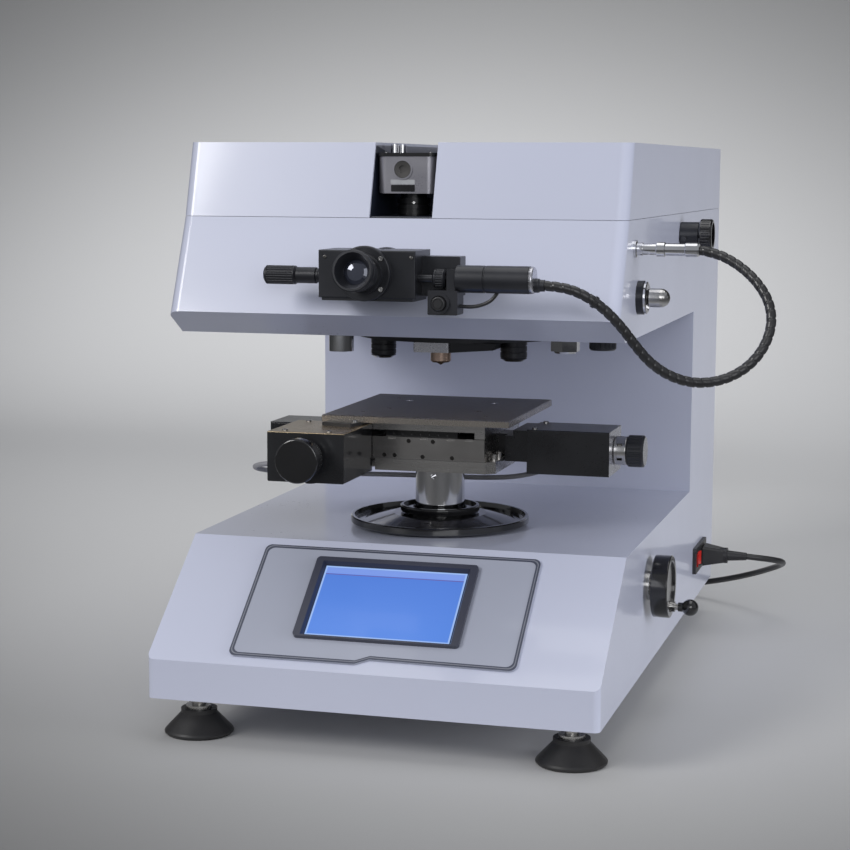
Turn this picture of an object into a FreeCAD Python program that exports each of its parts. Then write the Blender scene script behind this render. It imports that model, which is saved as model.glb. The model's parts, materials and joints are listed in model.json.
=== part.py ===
import FreeCAD, Part
import math
import os

# Bench hardness tester with a motorised cross stage, a filar eyepiece and a touch panel.
# The origin is where the spindle axis meets the bench: +X to the right, +Y to the back, +Z up. Millimetres.

# Housing, as a side profile: y runs to the back and z runs up
body_width = 332.0
half = body_width / 2.0
sheet = 2.0
panel_gap = 0.3
base_bottom_z = 33.0
base_front_y = -195.0
base_lip_z = 62.0
slope_top_y = -99.0
base_top_z = 137.0
column_front_y = 213.0
rear_y = 365.0
head_bottom_z = 293.0
chin_y = -120.0
nose_y = -149.0
nose_rise = 17.0
nose_z = head_bottom_z + nose_rise
front_rise = 68.0
seam_z = nose_z + front_rise
seam_front_y = -119.0
cover_height = 54.0
head_top_z = seam_z + cover_height
head_top_front_y = -103.0
head_corner_radius = 9.0
base_corner_radius = 5.0
vent_count = 9
vent_length = 70.0
vent_width = 4.0
vent_pitch = 9.0

# Camera slot in the head cover
slot_width = 46.8
slot_x = 1.9
slot_left = slot_x - slot_width / 2.0
slot_right = slot_x + slot_width / 2.0
slot_back_y = -30.0
channel_depth = 14.0
channel_floor_z = head_top_z - channel_depth
liner_wall = 1.2

# Levelling feet
foot_front_inset = 26.0
foot_front_x = half - foot_front_inset
foot_front_y = -159.5
foot_rear_inset = 48.0
foot_rear_x = half - foot_rear_inset
foot_rear_gap = 29.0
foot_rear_y = rear_y - foot_rear_gap
foot_radius = 25.5
foot_neck_radius = 13.3
foot_neck_z = 16.0
foot_rubber_height = 19.0
stud_radius = 5.0
stud_foot_z = 8.0
stud_flange_radius = 9.5
nut_flats = 17.0

# Running and seating clearances
running_fit = 0.05
seat_gap = 0.3

# Front panel, measured up the slope from the lip
panel_width = 211.0
panel_low = 7.5
panel_high = 114.0
panel_step = 4.8
panel_step_left_x = -10.5
panel_step_right_x = -0.5
panel_right_rise = 3.5
panel_thickness = 1.6
bezel_width = 123.0
bezel_low = 27.0
bezel_high = 102.5
bezel_thickness = 3.2
glass_width = 108.0
glass_low = 30.5
glass_high = 96.5
glass_thickness = 1.5
screen_depth = 13.0

# Elevating spindle and its nut
spindle_radius = 19.3
spindle_top_z = 186.0
spindle_sleeve_bottom_z = 113.0
screw_radius = 12.0
screw_bottom_z = 24.0
hub_radius = 24.5
hub_bore_radius = 21.0
hub_bottom_z = 65.0
nut_top_z = 83.0
collar_radius = 31.0
collar_top_z = 152.5
collar_height = 5.5
collar_dish = 2.2
wheel_radius = 69.8
wheel_rim_top_z = 144.5
wheel_rim_bottom_z = 138.3
wheel_rim_wall = 2.6
wheel_floor = 2.4
key_width = 5.0
key_depth = 3.0

# Bevel gears between the handwheel shaft and the nut
gear_module = 2.0
nut_teeth = 34
pinion_teeth = 16
gear_face = 7.0
shaft_z = 97.0
shaft_radius = 6.0
tooth_share = 0.40

# Side handwheel
handwheel_gap = 5.0
handwheel_x = half + handwheel_gap
handwheel_width = 13.0
handwheel_radius = 24.0
handwheel_rim_wall = 5.0
crank_angle = -60.0
crank_radius = 20.5
crank_pin_radius = 2.5
crank_knob_radius = 6.5
crank_reach = 26.0
crank_knob_x = handwheel_x + crank_reach

# Cross stage
stage_top_z = 229.0
stage_plate_x = 145.0
stage_plate_y = 150.0
stage_plate_thickness = 5.0
stage_hole_x = 96.0
stage_hole_y = 96.0
stage_hole_radius = 1.65
carriage_half_x = 50.0
carriage_half_y = 57.0
stage_base_thickness = 9.0
stage_base_right_x = 57.0
y_carriage_top_z = 212.0
x_carriage_bottom_z = 217.0
stage_travel = 12.5
rail_width = 6.0
rail_height = 6.5
screw_r = 3.0
nut_half = 7.0
y_screw_x = -67.5
y_screw_z = 203.5
x_screw_z = 200.5
y_box_width = 59.0
y_box_front_y = -128.0
y_box_height = 37.0
y_knob_radius = 16.4
y_knob_length = 21.0
y_knob_disc = 9.0
x_box_left = 75.0
x_box_right = 138.5
x_box_depth = 50.0
x_box_bottom_z = 183.0
x_box_top_z = 217.0
limit_box_left = -133.0
limit_box_right = -77.0
limit_box_bottom_z = 176.0
stage_gland_x = 97.0
stage_gland_z = 187.6
x_neck_length = 9.5
x_neck_radius = 10.9
x_knob_radius = 12.2
x_knob_length = 13.5
box_wall = 2.0

# Turret below the head
turret_y = 75.0
turret_station_radius = 75.0
turret_step = 45.0
turret_plate_bottom_z = 280.0
turret_plate_top_z = 289.0
turret_shaft_radius = 12.0
turret_hub_radius = 24.0
station_pad = 13.0
objective_bottom_z = 264.5
left_objective_radius = 10.0
right_objective_radius = 10.6
clamp_bottom_z = 272.2
holder_bottom_z = 264.2
indenter_tip_z = 262.0
indenter_radius = 8.0
indenter_shaft_radius = 4.0

# Inner frame and load mechanism
frame_half = 68.0
frame_wall = 8.0
frame_rear_gap = 19.0
frame_rear_y = rear_y - frame_rear_gap
frame_front_y = -62.0
frame_base_z = 39.0
frame_bridge_z = 119.0
frame_bridge_thickness = 10.0
arm_bottom_z = 297.0
arm_plate = 8.0
arm_top_z = 345.0
lever_bottom_z = 317.0
lever_height = 10.0
lever_width = 16.0
lever_pivot_y = 150.0
lever_pivot_radius = 4.0
weight_radius = 19.0
weight_thickness = 6.0
weight_count = 5

# Optics, camera and filar eyepiece
camera_width = 43.6
camera_x = 1.7
camera_front_y = -104.5
camera_depth = 55.0
optics_front_y = -97.0
optics_depth = 40.0
camera_rise = 17.5
camera_bottom_z = seam_z + camera_rise
camera_height = 26.5
camera_top_z = camera_bottom_z + camera_height
lens_radius = 12.1
filar_front_y = -188.0
filar_depth = 38.0
filar_width = 69.5
filar_bottom_z = 325.0
filar_height = 32.7
filar_top_z = filar_bottom_z + filar_height
filar_wall = 3.0
eyepiece_tilt = 9.0
eyepiece_z = 342.0
eyepiece_x = -3.0
eyepiece_radius = 14.4
eyepiece_length = 30.0
filar_tube_radius = 13.5
drum_axis_z = 339.0
drum_radius = 6.6
sleeve_radius = 5.7
encoder_radius = 9.4
encoder_end_x = 114.0
block_right_x = 63.0

# Fittings on the right side of the head and base
connector_y = -88.6
connector_z = 357.5
connector_length = 46.0
connector_end_x = half + connector_length
selector_y = 131.0
selector_z = 361.0
selector_radius = 10.3
selector_ring_radius = 12.8
pull_y = -70.0
pull_z = 322.0
fitting_y = -50.0
round_lamp_x = -65.0
lamp_radius = 9.4
lamp_length = 16.4
hex_lamp_inset = 57.0
hex_lamp_x = half - hex_lamp_inset
hex_lamp_flats = 19.5
lock_knob_inset = 29.0
lock_knob_x = half - lock_knob_inset
lock_knob_length = 11.5
inlet_rear_gap = 59.0
inlet_length = 66.0
inlet_rear_y = rear_y - inlet_rear_gap
inlet_front_y = inlet_rear_y - inlet_length
inlet_bottom_z = 58.5
inlet_height = 23.0
inlet_top_z = inlet_bottom_z + inlet_height
inlet_depth = 26.0
supply_gap = 12.0
supply_frame_gap = 10.0
plug_y = inlet_rear_y - 19.0
plug_z = inlet_bottom_z + 10.0
plug_start = 4.0
plug_body_length = 18.0
relief_length = 20.0

# Cords
loom_diameter = 7.0
mains_diameter = 5.5
stage_lead_diameter = 4.0
button_lead_diameter = 2.6
coil_radius = 33.0
coil_x = 30.0
coil_y = 414.0

V = FreeCAD.Vector
AX = V(1, 0, 0)
AY = V(0, 1, 0)
AZ = V(0, 0, 1)


def block(x0, x1, y0, y1, z0, z1):
    """A box between two corners."""
    return Part.makeBox(x1 - x0, y1 - y0, z1 - z0, V(x0, y0, z0))


def rod(radius, start, axis, length):
    """A round bar from a point along an axis."""
    return Part.makeCylinder(radius, length, V(*start), axis)


def pipe(outer, inner, start, axis, length):
    """A round tube from a point along an axis."""
    return rod(outer, start, axis, length).cut(rod(inner, start, axis, length))


def prism(points, normal, start, length):
    """A flat outline, given in two of the axes, pushed along the third."""
    if normal is AX:
        corners = [V(start, a, b) for a, b in points]
    elif normal is AY:
        corners = [V(a, start, b) for a, b in points]
    else:
        corners = [V(a, b, start) for a, b in points]
    face = Part.Face(Part.makePolygon(corners + corners[:1]))
    return face.extrude(normal * length)


def turned(profile, origin, axis):
    """A lathe-turned solid: profile is (radius, distance along the axis)."""
    corners = [V(r, 0, h) for r, h in profile]
    face = Part.Face(Part.makePolygon(corners + corners[:1]))
    solid = face.revolve(V(0, 0, 0), AZ, 360)
    if axis is AX:
        solid.rotate(V(0, 0, 0), AY, 90)
    elif axis is AY:
        solid.rotate(V(0, 0, 0), AX, -90)
    solid.translate(V(*origin))
    return solid


def fuse(shapes):
    """Join touching or crossing solids into one."""
    return shapes[0].multiFuse(shapes[1:]).removeSplitter()


def cut(shape, tools):
    """Remove every tool from a shape."""
    return shape.cut(Part.makeCompound(tools)) if len(tools) > 1 else shape.cut(tools[0])


def rounded(shape, radius, wanted):
    """Fillet the edges for which wanted(edge) is true."""
    edges = [edge for edge in shape.Edges if wanted(edge)]
    return shape.makeFillet(radius, edges)


def along(edge, axis):
    """True for a straight edge that runs along an axis."""
    if not isinstance(edge.Curve, (Part.Line, Part.LineSegment)):
        return False
    return abs(abs(edge.tangentAt(edge.FirstParameter).dot(axis)) - 1.0) < 1e-6


def inset(points, walls):
    """Move each side of an outline inwards by its own wall: a negative wall moves it out."""
    count = len(points)
    area = sum(points[i][0] * points[(i + 1) % count][1] - points[(i + 1) % count][0] * points[i][1]
               for i in range(count))
    turn = 1.0 if area > 0 else -1.0
    lines = []
    for i in range(count):
        (a0, b0), (a1, b1) = points[i], points[(i + 1) % count]
        length = math.hypot(a1 - a0, b1 - b0)
        da, db = (a1 - a0) / length, (b1 - b0) / length
        na, nb = -db * turn, da * turn
        lines.append((a0 + na * walls[i], b0 + nb * walls[i], da, db))
    result = []
    for i in range(count):
        a0, b0, da0, db0 = lines[i - 1]
        a1, b1, da1, db1 = lines[i]
        across = da0 * db1 - db0 * da1
        t = ((a1 - a0) * db1 - (b1 - b0) * da1) / across
        result.append((a0 + da0 * t, b0 + db0 * t))
    return result


def polar(radius, degrees, centre=(0.0, 0.0)):
    """A point on a circle."""
    angle = math.radians(degrees)
    return (centre[0] + radius * math.cos(angle), centre[1] + radius * math.sin(angle))


def save(name, shape):
    """Write one sub-part."""
    shape.exportStep("parts/" + name + ".step")
    print(name, "solids", len(shape.Solids), "volume %.0f" % shape.Volume, "valid", shape.isValid())


def group(shapes):
    """Separate solids that share one node."""
    return Part.makeCompound(shapes)


# The optical axis of the camera and its optics block
camera_axis_y = optics_front_y + optics_depth / 2

# The slope of the base: unit vectors up the slope and out of it
slope_length = math.hypot(slope_top_y - base_front_y, base_top_z - base_lip_z)
slope_up = V(0, slope_top_y - base_front_y, base_top_z - base_lip_z) * (1.0 / slope_length)
slope_out = V(0, -slope_up.z, slope_up.y)


def slope_outline(width, low, high, out):
    """A rectangle parallel to the slope, centred on x and standing out of it."""
    origin = V(0, base_front_y, base_lip_z)
    corners = [origin + V(x, 0, 0) + slope_up * up + slope_out * out
               for x, up in ((-width / 2, low), (width / 2, low), (width / 2, high), (-width / 2, high))]
    return Part.makePolygon(corners + corners[:1])


def slope_shape(points, bottom, top):
    """A flat shape parallel to the slope, from corners given as x and distance up it."""
    origin = V(0, base_front_y, base_lip_z) + slope_out * bottom
    corners = [origin + V(x, 0, 0) + slope_up * up for x, up in points]
    return Part.Face(Part.makePolygon(corners + corners[:1])).extrude(slope_out * (top - bottom))


def slope_plate(width, low, high, bottom, top):
    """A plate parallel to the slope: low and high run up it, bottom and top stand out of it."""
    return Part.Face(slope_outline(width, low, high, bottom)).extrude(slope_out * (top - bottom))


# Housing

base_outline = [(base_front_y, base_bottom_z), (base_front_y, base_lip_z), (slope_top_y, base_top_z),
                (rear_y - sheet, base_top_z), (rear_y - sheet, base_bottom_z)]
head_outline = [(chin_y, head_bottom_z), (nose_y, nose_z), (seam_front_y, seam_z),
                (rear_y - sheet, seam_z), (rear_y - sheet, head_bottom_z)]
cover_outline = [(seam_front_y, seam_z + panel_gap), (head_top_front_y, head_top_z),
                 (rear_y, head_top_z), (rear_y, seam_z + panel_gap)]


def folded_shell(outline, walls, corner, front_limit):
    """A folded and welded sheet casing with rounded upright corners at the front."""
    outer = prism(outline, AX, -half, body_width)
    inner = prism(inset(outline, walls), AX, -half + sheet, body_width - 2 * sheet)

    def front_corner(edge):
        middle = edge.CenterOfMass
        flat = abs(edge.tangentAt(edge.FirstParameter).x) < 1e-6
        return flat and middle.y < front_limit + 2 * sheet and edge.BoundBox.YLength < 0.8 * edge.Length
    outer = rounded(outer, corner, front_corner)
    inner = rounded(inner, corner - sheet, front_corner)
    return outer.cut(inner)


def base_casing():
    """The wedge-fronted base shell, open below and behind."""
    shell = folded_shell(base_outline, [sheet, sheet, sheet, -10.0, -10.0], base_corner_radius,
                         base_front_y + 1.0)
    column_well = block(-half + sheet, half - sheet, column_front_y + sheet, rear_y,
                        base_top_z - 2 * sheet, base_top_z + 1)
    screen_hole = slope_plate(glass_width + 2 * sheet, bezel_low + sheet, bezel_high - sheet,
                              -4 * sheet, 4 * sheet)
    spindle_hole = rod(hub_radius + 2.0, (0, 0, base_top_z - 5), AZ, 10)
    shaft_hole = rod(shaft_radius + 5.0, (half - 5, 0, shaft_z), AX, 10)
    inlet_hole = block(half - 5, half + 5, inlet_front_y + 3, inlet_rear_y - 3,
                       inlet_bottom_z + 2, inlet_top_z - 2)
    return cut(shell, [column_well, screen_hole, spindle_hole, shaft_hole, inlet_hole])


def feet_places():
    """The four foot centres."""
    return [(side * x, y) for x, y in ((foot_front_x, foot_front_y), (foot_rear_x, foot_rear_y))
            for side in (-1, 1)]


def bottom_plate():
    """The floor of the base, with holes for the foot studs and the spindle screw."""
    plate = block(-half + sheet + panel_gap, half - sheet - panel_gap, base_front_y + sheet + panel_gap,
                  rear_y - sheet - panel_gap, base_bottom_z, base_bottom_z + sheet)
    plate = rounded(plate, base_corner_radius, lambda edge: along(edge, AZ))
    holes = [rod(stud_radius + seat_gap, (x, y, base_bottom_z - 1), AZ, 2 * sheet)
             for x, y in feet_places()]
    holes.append(rod(screw_radius + 3.0, (0, 0, base_bottom_z - 1), AZ, 2 * sheet))
    return cut(plate, holes)


def column_casing():
    """The upright between base and head: a front and two sides."""
    outer = block(-half, half, column_front_y, rear_y - sheet, base_top_z, head_bottom_z)
    inner = block(-half + sheet, half - sheet, column_front_y + sheet, rear_y,
                  base_top_z - 1, head_bottom_z + 1)
    return outer.cut(inner)


def rear_panel():
    """The screwed back panel of base, column and head, with vent slots near its foot."""
    panel = block(-half, half, rear_y - sheet, rear_y, base_bottom_z, seam_z)
    slots = []
    for i in range(vent_count):
        z = base_bottom_z + 22 + i * vent_pitch
        for x in (-vent_length - 15, 15):
            slot = block(x, x + vent_length, rear_y - 5, rear_y + 5, z, z + vent_width)
            slots.append(rounded(slot, vent_width / 2 - 0.05, lambda edge: along(edge, AY)))
    return cut(panel, slots)


def head_casing():
    """The lower shell of the head, with its sloping nose."""
    shell = folded_shell(head_outline, [sheet, sheet, -10.0, -10.0, sheet], head_corner_radius,
                         head_top_front_y)
    column_well = block(-half + sheet, half - sheet, column_front_y + sheet, rear_y,
                        head_bottom_z - 1, head_bottom_z + 2 * sheet)
    turret_hole = rod(turret_hub_radius + 2, (0, turret_y, head_bottom_z - 1), AZ, 4 * sheet)
    load_hole = rod(indenter_shaft_radius + 5, (0, 0, head_bottom_z - 1), AZ, 4 * sheet)
    tube_hole = rod(filar_tube_radius + 0.5, (0, nose_y - 5, eyepiece_z - 1), AY, 40)
    side_holes = [rod(4.5, (half - 5, connector_y, connector_z), AX, 10),
                  rod(5.0, (half - 5, pull_y, pull_z), AX, 10),
                  rod(5.0, (half - 5, selector_y, selector_z), AX, 10)]
    return cut(shell, [column_well, turret_hole, load_hole, tube_hole] + side_holes)


def head_cover():
    """The lift-off top of the head with the camera slot and the cable channel behind it."""
    shell = folded_shell(cover_outline, [sheet, sheet, sheet, -10.0], head_corner_radius,
                         head_top_front_y + 1)
    slot = block(slot_left, slot_right, nose_y, slot_back_y, seam_z - 1, head_top_z + 1)
    channel = block(slot_left, slot_right, slot_back_y - 1, rear_y + 1, channel_floor_z, head_top_z + 1)
    return cut(shell, [slot, channel])


def slot_liner():
    """The dark folded trough that lines the camera slot and the cable channel."""
    left, right = slot_left - liner_wall, slot_right + liner_wall
    top = head_top_z - sheet
    floor = seam_z + liner_wall
    front = block(left, right, nose_y, slot_back_y + liner_wall, floor - liner_wall, top)
    back = block(left, right, slot_back_y, rear_y - sheet, channel_floor_z - liner_wall, top)
    slot = block(slot_left, slot_right, nose_y - 1, slot_back_y, floor, top + 1)
    channel = block(slot_left, slot_right, slot_back_y - 1, rear_y + 1, channel_floor_z, top + 1)
    behind_front = prism(inset(cover_outline, [sheet, sheet, sheet, 0.0]), AX, -half, body_width)
    lens_hole = rod(lens_radius + 1.0, (0, camera_axis_y, seam_z - 5), AZ, 10)
    return fuse([front, back]).common(behind_front).cut(Part.makeCompound([slot, channel, lens_hole]))


def hexagon(flats, x, y, z, height):
    """An upright hexagonal bar."""
    corner = flats / math.sqrt(3.0)
    return prism([polar(corner, 60 * i + 30, (x, y)) for i in range(6)], AZ, z, height)


def rubber_foot(x, y):
    """One conical rubber foot with a socket for its stud."""
    profile = [(0, 0), (foot_radius - 1.5, 0), (foot_radius, 1.5), (foot_radius, 2.6), (foot_radius - 1.0, 4.0),
               (foot_neck_radius + 1.0, foot_neck_z - 1.2), (foot_neck_radius, foot_neck_z),
               (foot_neck_radius, foot_rubber_height), (stud_radius + running_fit, foot_rubber_height),
               (stud_radius + running_fit, stud_foot_z), (0, stud_foot_z)]
    return turned(profile, (x, y, 0), AZ)


def foot_stud(x, y):
    """One steel levelling stud: flange on the rubber, thread, and lock nut under the base."""
    stud = rod(stud_radius, (x, y, stud_foot_z), AZ, base_bottom_z + 12 - stud_foot_z)
    flange = rod(stud_flange_radius, (x, y, foot_rubber_height), AZ, 2.5)
    nut = hexagon(nut_flats, x, y, base_bottom_z - 7.0, 7.0)
    top_nut = hexagon(nut_flats, x, y, base_bottom_z + sheet, 5.0)
    return fuse([stud, flange, nut, top_nut])


# Front panel and electrics

def front_panel():
    """The flat control panel on the slope, its lower edge stepped near the middle."""
    wide = panel_width / 2
    outline = [(-wide, panel_low), (panel_step_left_x, panel_low), (panel_step_right_x, panel_low + panel_step),
               (wide, panel_low + panel_right_rise), (wide, panel_high), (-wide, panel_high)]
    plate = slope_shape(outline, 0.0, panel_thickness)
    plate = rounded(plate, 6.0, lambda edge: along(edge, slope_out) and abs(edge.CenterOfMass.x) > wide - 1)
    hole = slope_plate(glass_width + 2 * sheet, bezel_low + sheet, bezel_high - sheet, -1, 5)
    return plate.cut(hole)


def screen_bezel():
    """The raised frame round the screen, with a bevelled inner edge."""
    top = panel_thickness + bezel_thickness
    frame = slope_plate(bezel_width, bezel_low, bezel_high, panel_thickness, top)
    frame = rounded(frame, 3.0, lambda edge: along(edge, slope_out))
    wires = []
    for spread, out in ((0.0, panel_thickness - 0.5), (2.2, top + 0.5)):
        wires.append(slope_outline(glass_width + 2 * spread, glass_low - spread, glass_high + spread, out))
    return frame.cut(Part.makeLoft(wires, True, True))


def touch_screen():
    """The glass with the display module behind it."""
    glass = slope_plate(glass_width + sheet, glass_low - 1, glass_high + 1,
                        panel_thickness - glass_thickness, panel_thickness)
    module = slope_plate(glass_width - 4, glass_low + 2, glass_high - 2,
                         -screen_depth, panel_thickness - glass_thickness)
    return fuse([glass, module])


def control_board():
    """The circuit board on four pillars above the bottom plate, with its larger components."""
    floor = base_bottom_z + sheet
    board = block(-75, 75, -165, -85, floor + 8, floor + 9.6)
    pillars = [rod(3.0, (x, y, floor), AZ, 8.0) for x in (-69, 69) for y in (-159, -91)]
    chips = [block(-40, -15, -140, -115, floor + 9.6, floor + 13), block(10, 45, -150, -130, floor + 9.6, floor + 15),
             rod(6.0, (-55, -105, floor + 9.6), AZ, 14), rod(6.0, (60, -105, floor + 9.6), AZ, 14)]
    return fuse([board] + pillars + chips)


def power_supply():
    """The mains power pack, a folded can with cooling holes."""
    left, right = frame_half + supply_frame_gap, half - inlet_depth - supply_gap
    front, rear = inlet_front_y - 22, inlet_rear_y + 12
    can = block(left, right, front, rear, base_bottom_z + sheet, base_bottom_z + sheet + 38)
    holes = [rod(2.5, (left + 12 + 9 * i, front + 14 + 12 * j, base_bottom_z + 30), AZ, 20)
             for i in range(1 + int((right - left - 23) / 9)) for j in range(6)]
    return cut(rounded(can, 2.0, lambda edge: along(edge, AZ)), holes)


switch_y = inlet_front_y + 16.5
switch_z = (inlet_bottom_z + inlet_top_z) / 2
switch_axis_x = half - 1.0
pivot_radius = 1.5


def mains_inlet():
    """The appliance inlet with its flange, socket well and switch opening."""
    flange = block(half, half + 3.0, inlet_front_y, inlet_rear_y, inlet_bottom_z, inlet_top_z)
    flange = rounded(flange, 2.5, lambda edge: along(edge, AX))
    body = block(half - inlet_depth, half, inlet_front_y + 4, inlet_rear_y - 4,
                 inlet_bottom_z + 3, inlet_top_z - 3)
    well = block(half - 18, half + 5, plug_y - 11.5, plug_y + 11.5, plug_z - 7, plug_z + 7)
    switch_well = block(half - 9, half + 5, switch_y - 10, switch_y + 10, switch_z - 6.5, switch_z + 6.5)
    pivot_bore = rod(pivot_radius + running_fit, (switch_axis_x, switch_y, switch_z - 8), AZ, 16)
    pins = [block(half - 20, half - 4, y - 2, y + 2, plug_z - 1, plug_z + 1)
            for y in (plug_y - 7, plug_y, plug_y + 7)]
    shell = flange.fuse(body).cut(Part.makeCompound([well, switch_well])).cut(pivot_bore)
    return fuse([shell] + pins)


def power_rocker():
    """The rocker of the mains switch: two shallow wings on a pivot."""
    reach, tall = 9.0, 5.9
    points = [(half + 1.5, switch_y), (half + 4.2, switch_y + reach), (half - 1.5, switch_y + reach),
              (half - 5.5, switch_y + 4), (half - 5.5, switch_y - 4), (half - 1.5, switch_y - reach),
              (half + 4.2, switch_y - reach)]
    pivot = rod(pivot_radius, (switch_axis_x, switch_y, switch_z - tall - 1.7), AZ, 2 * tall + 3.4)
    return fuse([prism(points, AZ, switch_z - tall, 2 * tall), pivot])


# Elevating gear

def bevel_gear(teeth, other_teeth, phase):
    """A straight bevel gear on +Z with its cone's apex at the origin and its teeth facing the apex."""
    pitch_radius = gear_module * teeth / 2.0
    other_radius = gear_module * other_teeth / 2.0
    cone = math.hypot(pitch_radius, other_radius)
    slant = math.atan2(pitch_radius, other_radius)
    inner = (cone - gear_face) / cone
    root = 1.15 * gear_module
    tip = 0.85 * gear_module

    def at(distance, height):
        """Radius and axial place of a point on the cone raised by height towards the mesh."""
        r = distance * math.sin(slant) + height * math.cos(slant)
        h = -distance * math.cos(slant) + height * math.sin(slant)
        return r, h
    body = []
    body.append(at(cone, -root))
    body.append(at(cone * inner, -root * inner))
    back = at(cone, -root)[1] - 6.0
    profile = [(0.0, back), (at(cone, -root)[0], back)] + body + [(0.0, body[1][1])]
    blank = turned(profile, (0, 0, 0), AZ)
    pieces = [blank]
    for i in range(teeth):
        wires = []
        for scale in (1.0, inner):
            corners = []
            for height, share in ((-root - 0.4, tooth_share + 0.14), (tip, tooth_share - 0.16)):
                r, h = at(cone * scale, height * scale)
                half_angle = math.pi * share / teeth
                corners.append((r, h, half_angle))
            middle = math.radians(phase) + 2 * math.pi * i / teeth
            (r0, h0, a0), (r1, h1, a1) = corners
            ring = [V(r0 * math.cos(middle - a0), r0 * math.sin(middle - a0), h0),
                    V(r0 * math.cos(middle + a0), r0 * math.sin(middle + a0), h0),
                    V(r1 * math.cos(middle + a1), r1 * math.sin(middle + a1), h1),
                    V(r1 * math.cos(middle - a1), r1 * math.sin(middle - a1), h1)]
            wires.append(Part.makePolygon(ring + ring[:1]))
        pieces.append(Part.makeLoft(wires, True, True))
    return fuse(pieces)


def elevating_nut():
    """The turning nut: bevel gear at its foot, hub through the base, and collar above."""
    gear = bevel_gear(nut_teeth, pinion_teeth, 180.0 / nut_teeth)
    gear.translate(V(0, 0, shaft_z))
    hub = rod(hub_radius, (0, 0, hub_bottom_z), AZ, collar_top_z - hub_bottom_z)
    collar = rod(collar_radius, (0, 0, collar_top_z - collar_height), AZ, collar_height)
    collar = rounded(collar, 1.2, lambda edge: edge.Length > collar_radius)
    step = rod(hub_radius + 3.0, (0, 0, frame_bridge_z + frame_bridge_thickness + seat_gap), AZ, 5.0)
    solid = fuse([gear, hub, collar, step])
    sleeve_bore = rod(hub_bore_radius, (0, 0, nut_top_z), AZ, 100)
    thread_bore = rod(screw_radius + running_fit, (0, 0, hub_bottom_z - 20), AZ, 60)
    dish = rod(collar_radius - 2.4, (0, 0, collar_top_z - collar_dish), AZ, 3.0)
    return cut(solid, [sleeve_bore, thread_bore]).cut(dish)


def spindle_wheel():
    """The dished wheel on the nut, just above the base."""
    rim_inner = wheel_radius - wheel_rim_wall
    floor_z = wheel_rim_bottom_z + wheel_floor
    hub_top_z = collar_top_z - collar_height - 1.0
    profile = [(hub_radius + running_fit, wheel_rim_bottom_z + 0.5), (hub_radius + 8, wheel_rim_bottom_z),
               (wheel_radius - 1.5, wheel_rim_bottom_z), (wheel_radius, wheel_rim_bottom_z + 1.2),
               (wheel_radius, wheel_rim_top_z - 0.8), (wheel_radius - 0.8, wheel_rim_top_z),
               (rim_inner, wheel_rim_top_z), (rim_inner - 0.6, floor_z), (wheel_radius - 11, floor_z),
               (hub_radius + 12, hub_top_z), (hub_radius + running_fit, hub_top_z)]
    return turned(profile, (0, 0, 0), AZ)


def spindle():
    """The lifting spindle: polished sleeve above, keyed screw below, flange under the stage."""
    sleeve = rod(spindle_radius, (0, 0, spindle_sleeve_bottom_z), AZ, spindle_top_z - spindle_sleeve_bottom_z)
    screw = rod(screw_radius, (0, 0, screw_bottom_z), AZ, spindle_sleeve_bottom_z - screw_bottom_z)
    screw = screw.makeChamfer(1.5, [e for e in screw.Edges if e.CenterOfMass.z < screw_bottom_z + 0.1])
    keyway = block(-key_width / 2, key_width / 2, screw_radius - key_depth, screw_radius + 5,
                   screw_bottom_z - 1, spindle_sleeve_bottom_z - 4)
    lock_hole = rod(2.3, (0, -spindle_radius - 1, spindle_top_z - 9), AY, 8)
    return cut(fuse([sleeve, screw]), [keyway, lock_hole])


def guide_bush():
    """The fixed bush below the nut, with the key that stops the screw from turning."""
    flange = rod(24.0, (0, 0, frame_base_z + frame_wall), AZ, 4.0)
    barrel = rod(17.0, (0, 0, frame_base_z), AZ, 22.0)
    bore = rod(screw_radius + running_fit, (0, 0, frame_base_z - 1), AZ, 30)
    key = block(-key_width / 2 + running_fit, key_width / 2 - running_fit, screw_radius - key_depth + 0.4,
                screw_radius + 2, frame_base_z, frame_base_z + 22)
    return fuse([fuse([flange, barrel]).cut(bore), key])


def thrust_bearing():
    """Two washers and a ring of balls' cage that carry the nut on the frame."""
    low = hub_bottom_z - 0.6
    floor = frame_base_z + frame_wall + 4.0
    rings = [pipe(23.5, 17.3, (0, 0, floor), AZ, 4.5),
             pipe(22.5, 18.5, (0, 0, floor + 4.5), AZ, low - floor - 9.0),
             pipe(23.5, 17.3, (0, 0, low - 4.5), AZ, 4.5)]
    return fuse(rings)


def nut_bush():
    """The bronze bush in the frame's bridge, round the hub."""
    top = frame_bridge_z + frame_bridge_thickness
    barrel = pipe(hub_radius + 4.0, hub_radius + running_fit, (0, 0, frame_bridge_z), AZ, frame_bridge_thickness)
    lip = pipe(hub_radius + 8.0, hub_radius + running_fit, (0, 0, frame_bridge_z - 3.0), AZ, 3.0)
    lip = lip.cut(block(hub_radius, 60, -20, 20, frame_bridge_z - 5, frame_bridge_z))
    return fuse([barrel, lip])


def handwheel_shaft():
    """The cross shaft with its bevel pinion."""
    pinion = bevel_gear(pinion_teeth, nut_teeth, 0.0)
    pinion.rotate(V(0, 0, 0), AZ, 90.0 + 180.0)
    pinion.rotate(V(0, 0, 0), AY, -90)
    pinion.translate(V(0, 0, shaft_z))
    start = gear_module * nut_teeth / 2.0 + 5
    bar = rod(shaft_radius, (start, 0, shaft_z), AX, handwheel_x + 4.0 - start)
    stop = pipe(shaft_radius + 4, shaft_radius, (frame_half + seat_gap, 0, shaft_z), AX, 6.0)
    return fuse([pinion, bar, stop])


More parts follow.
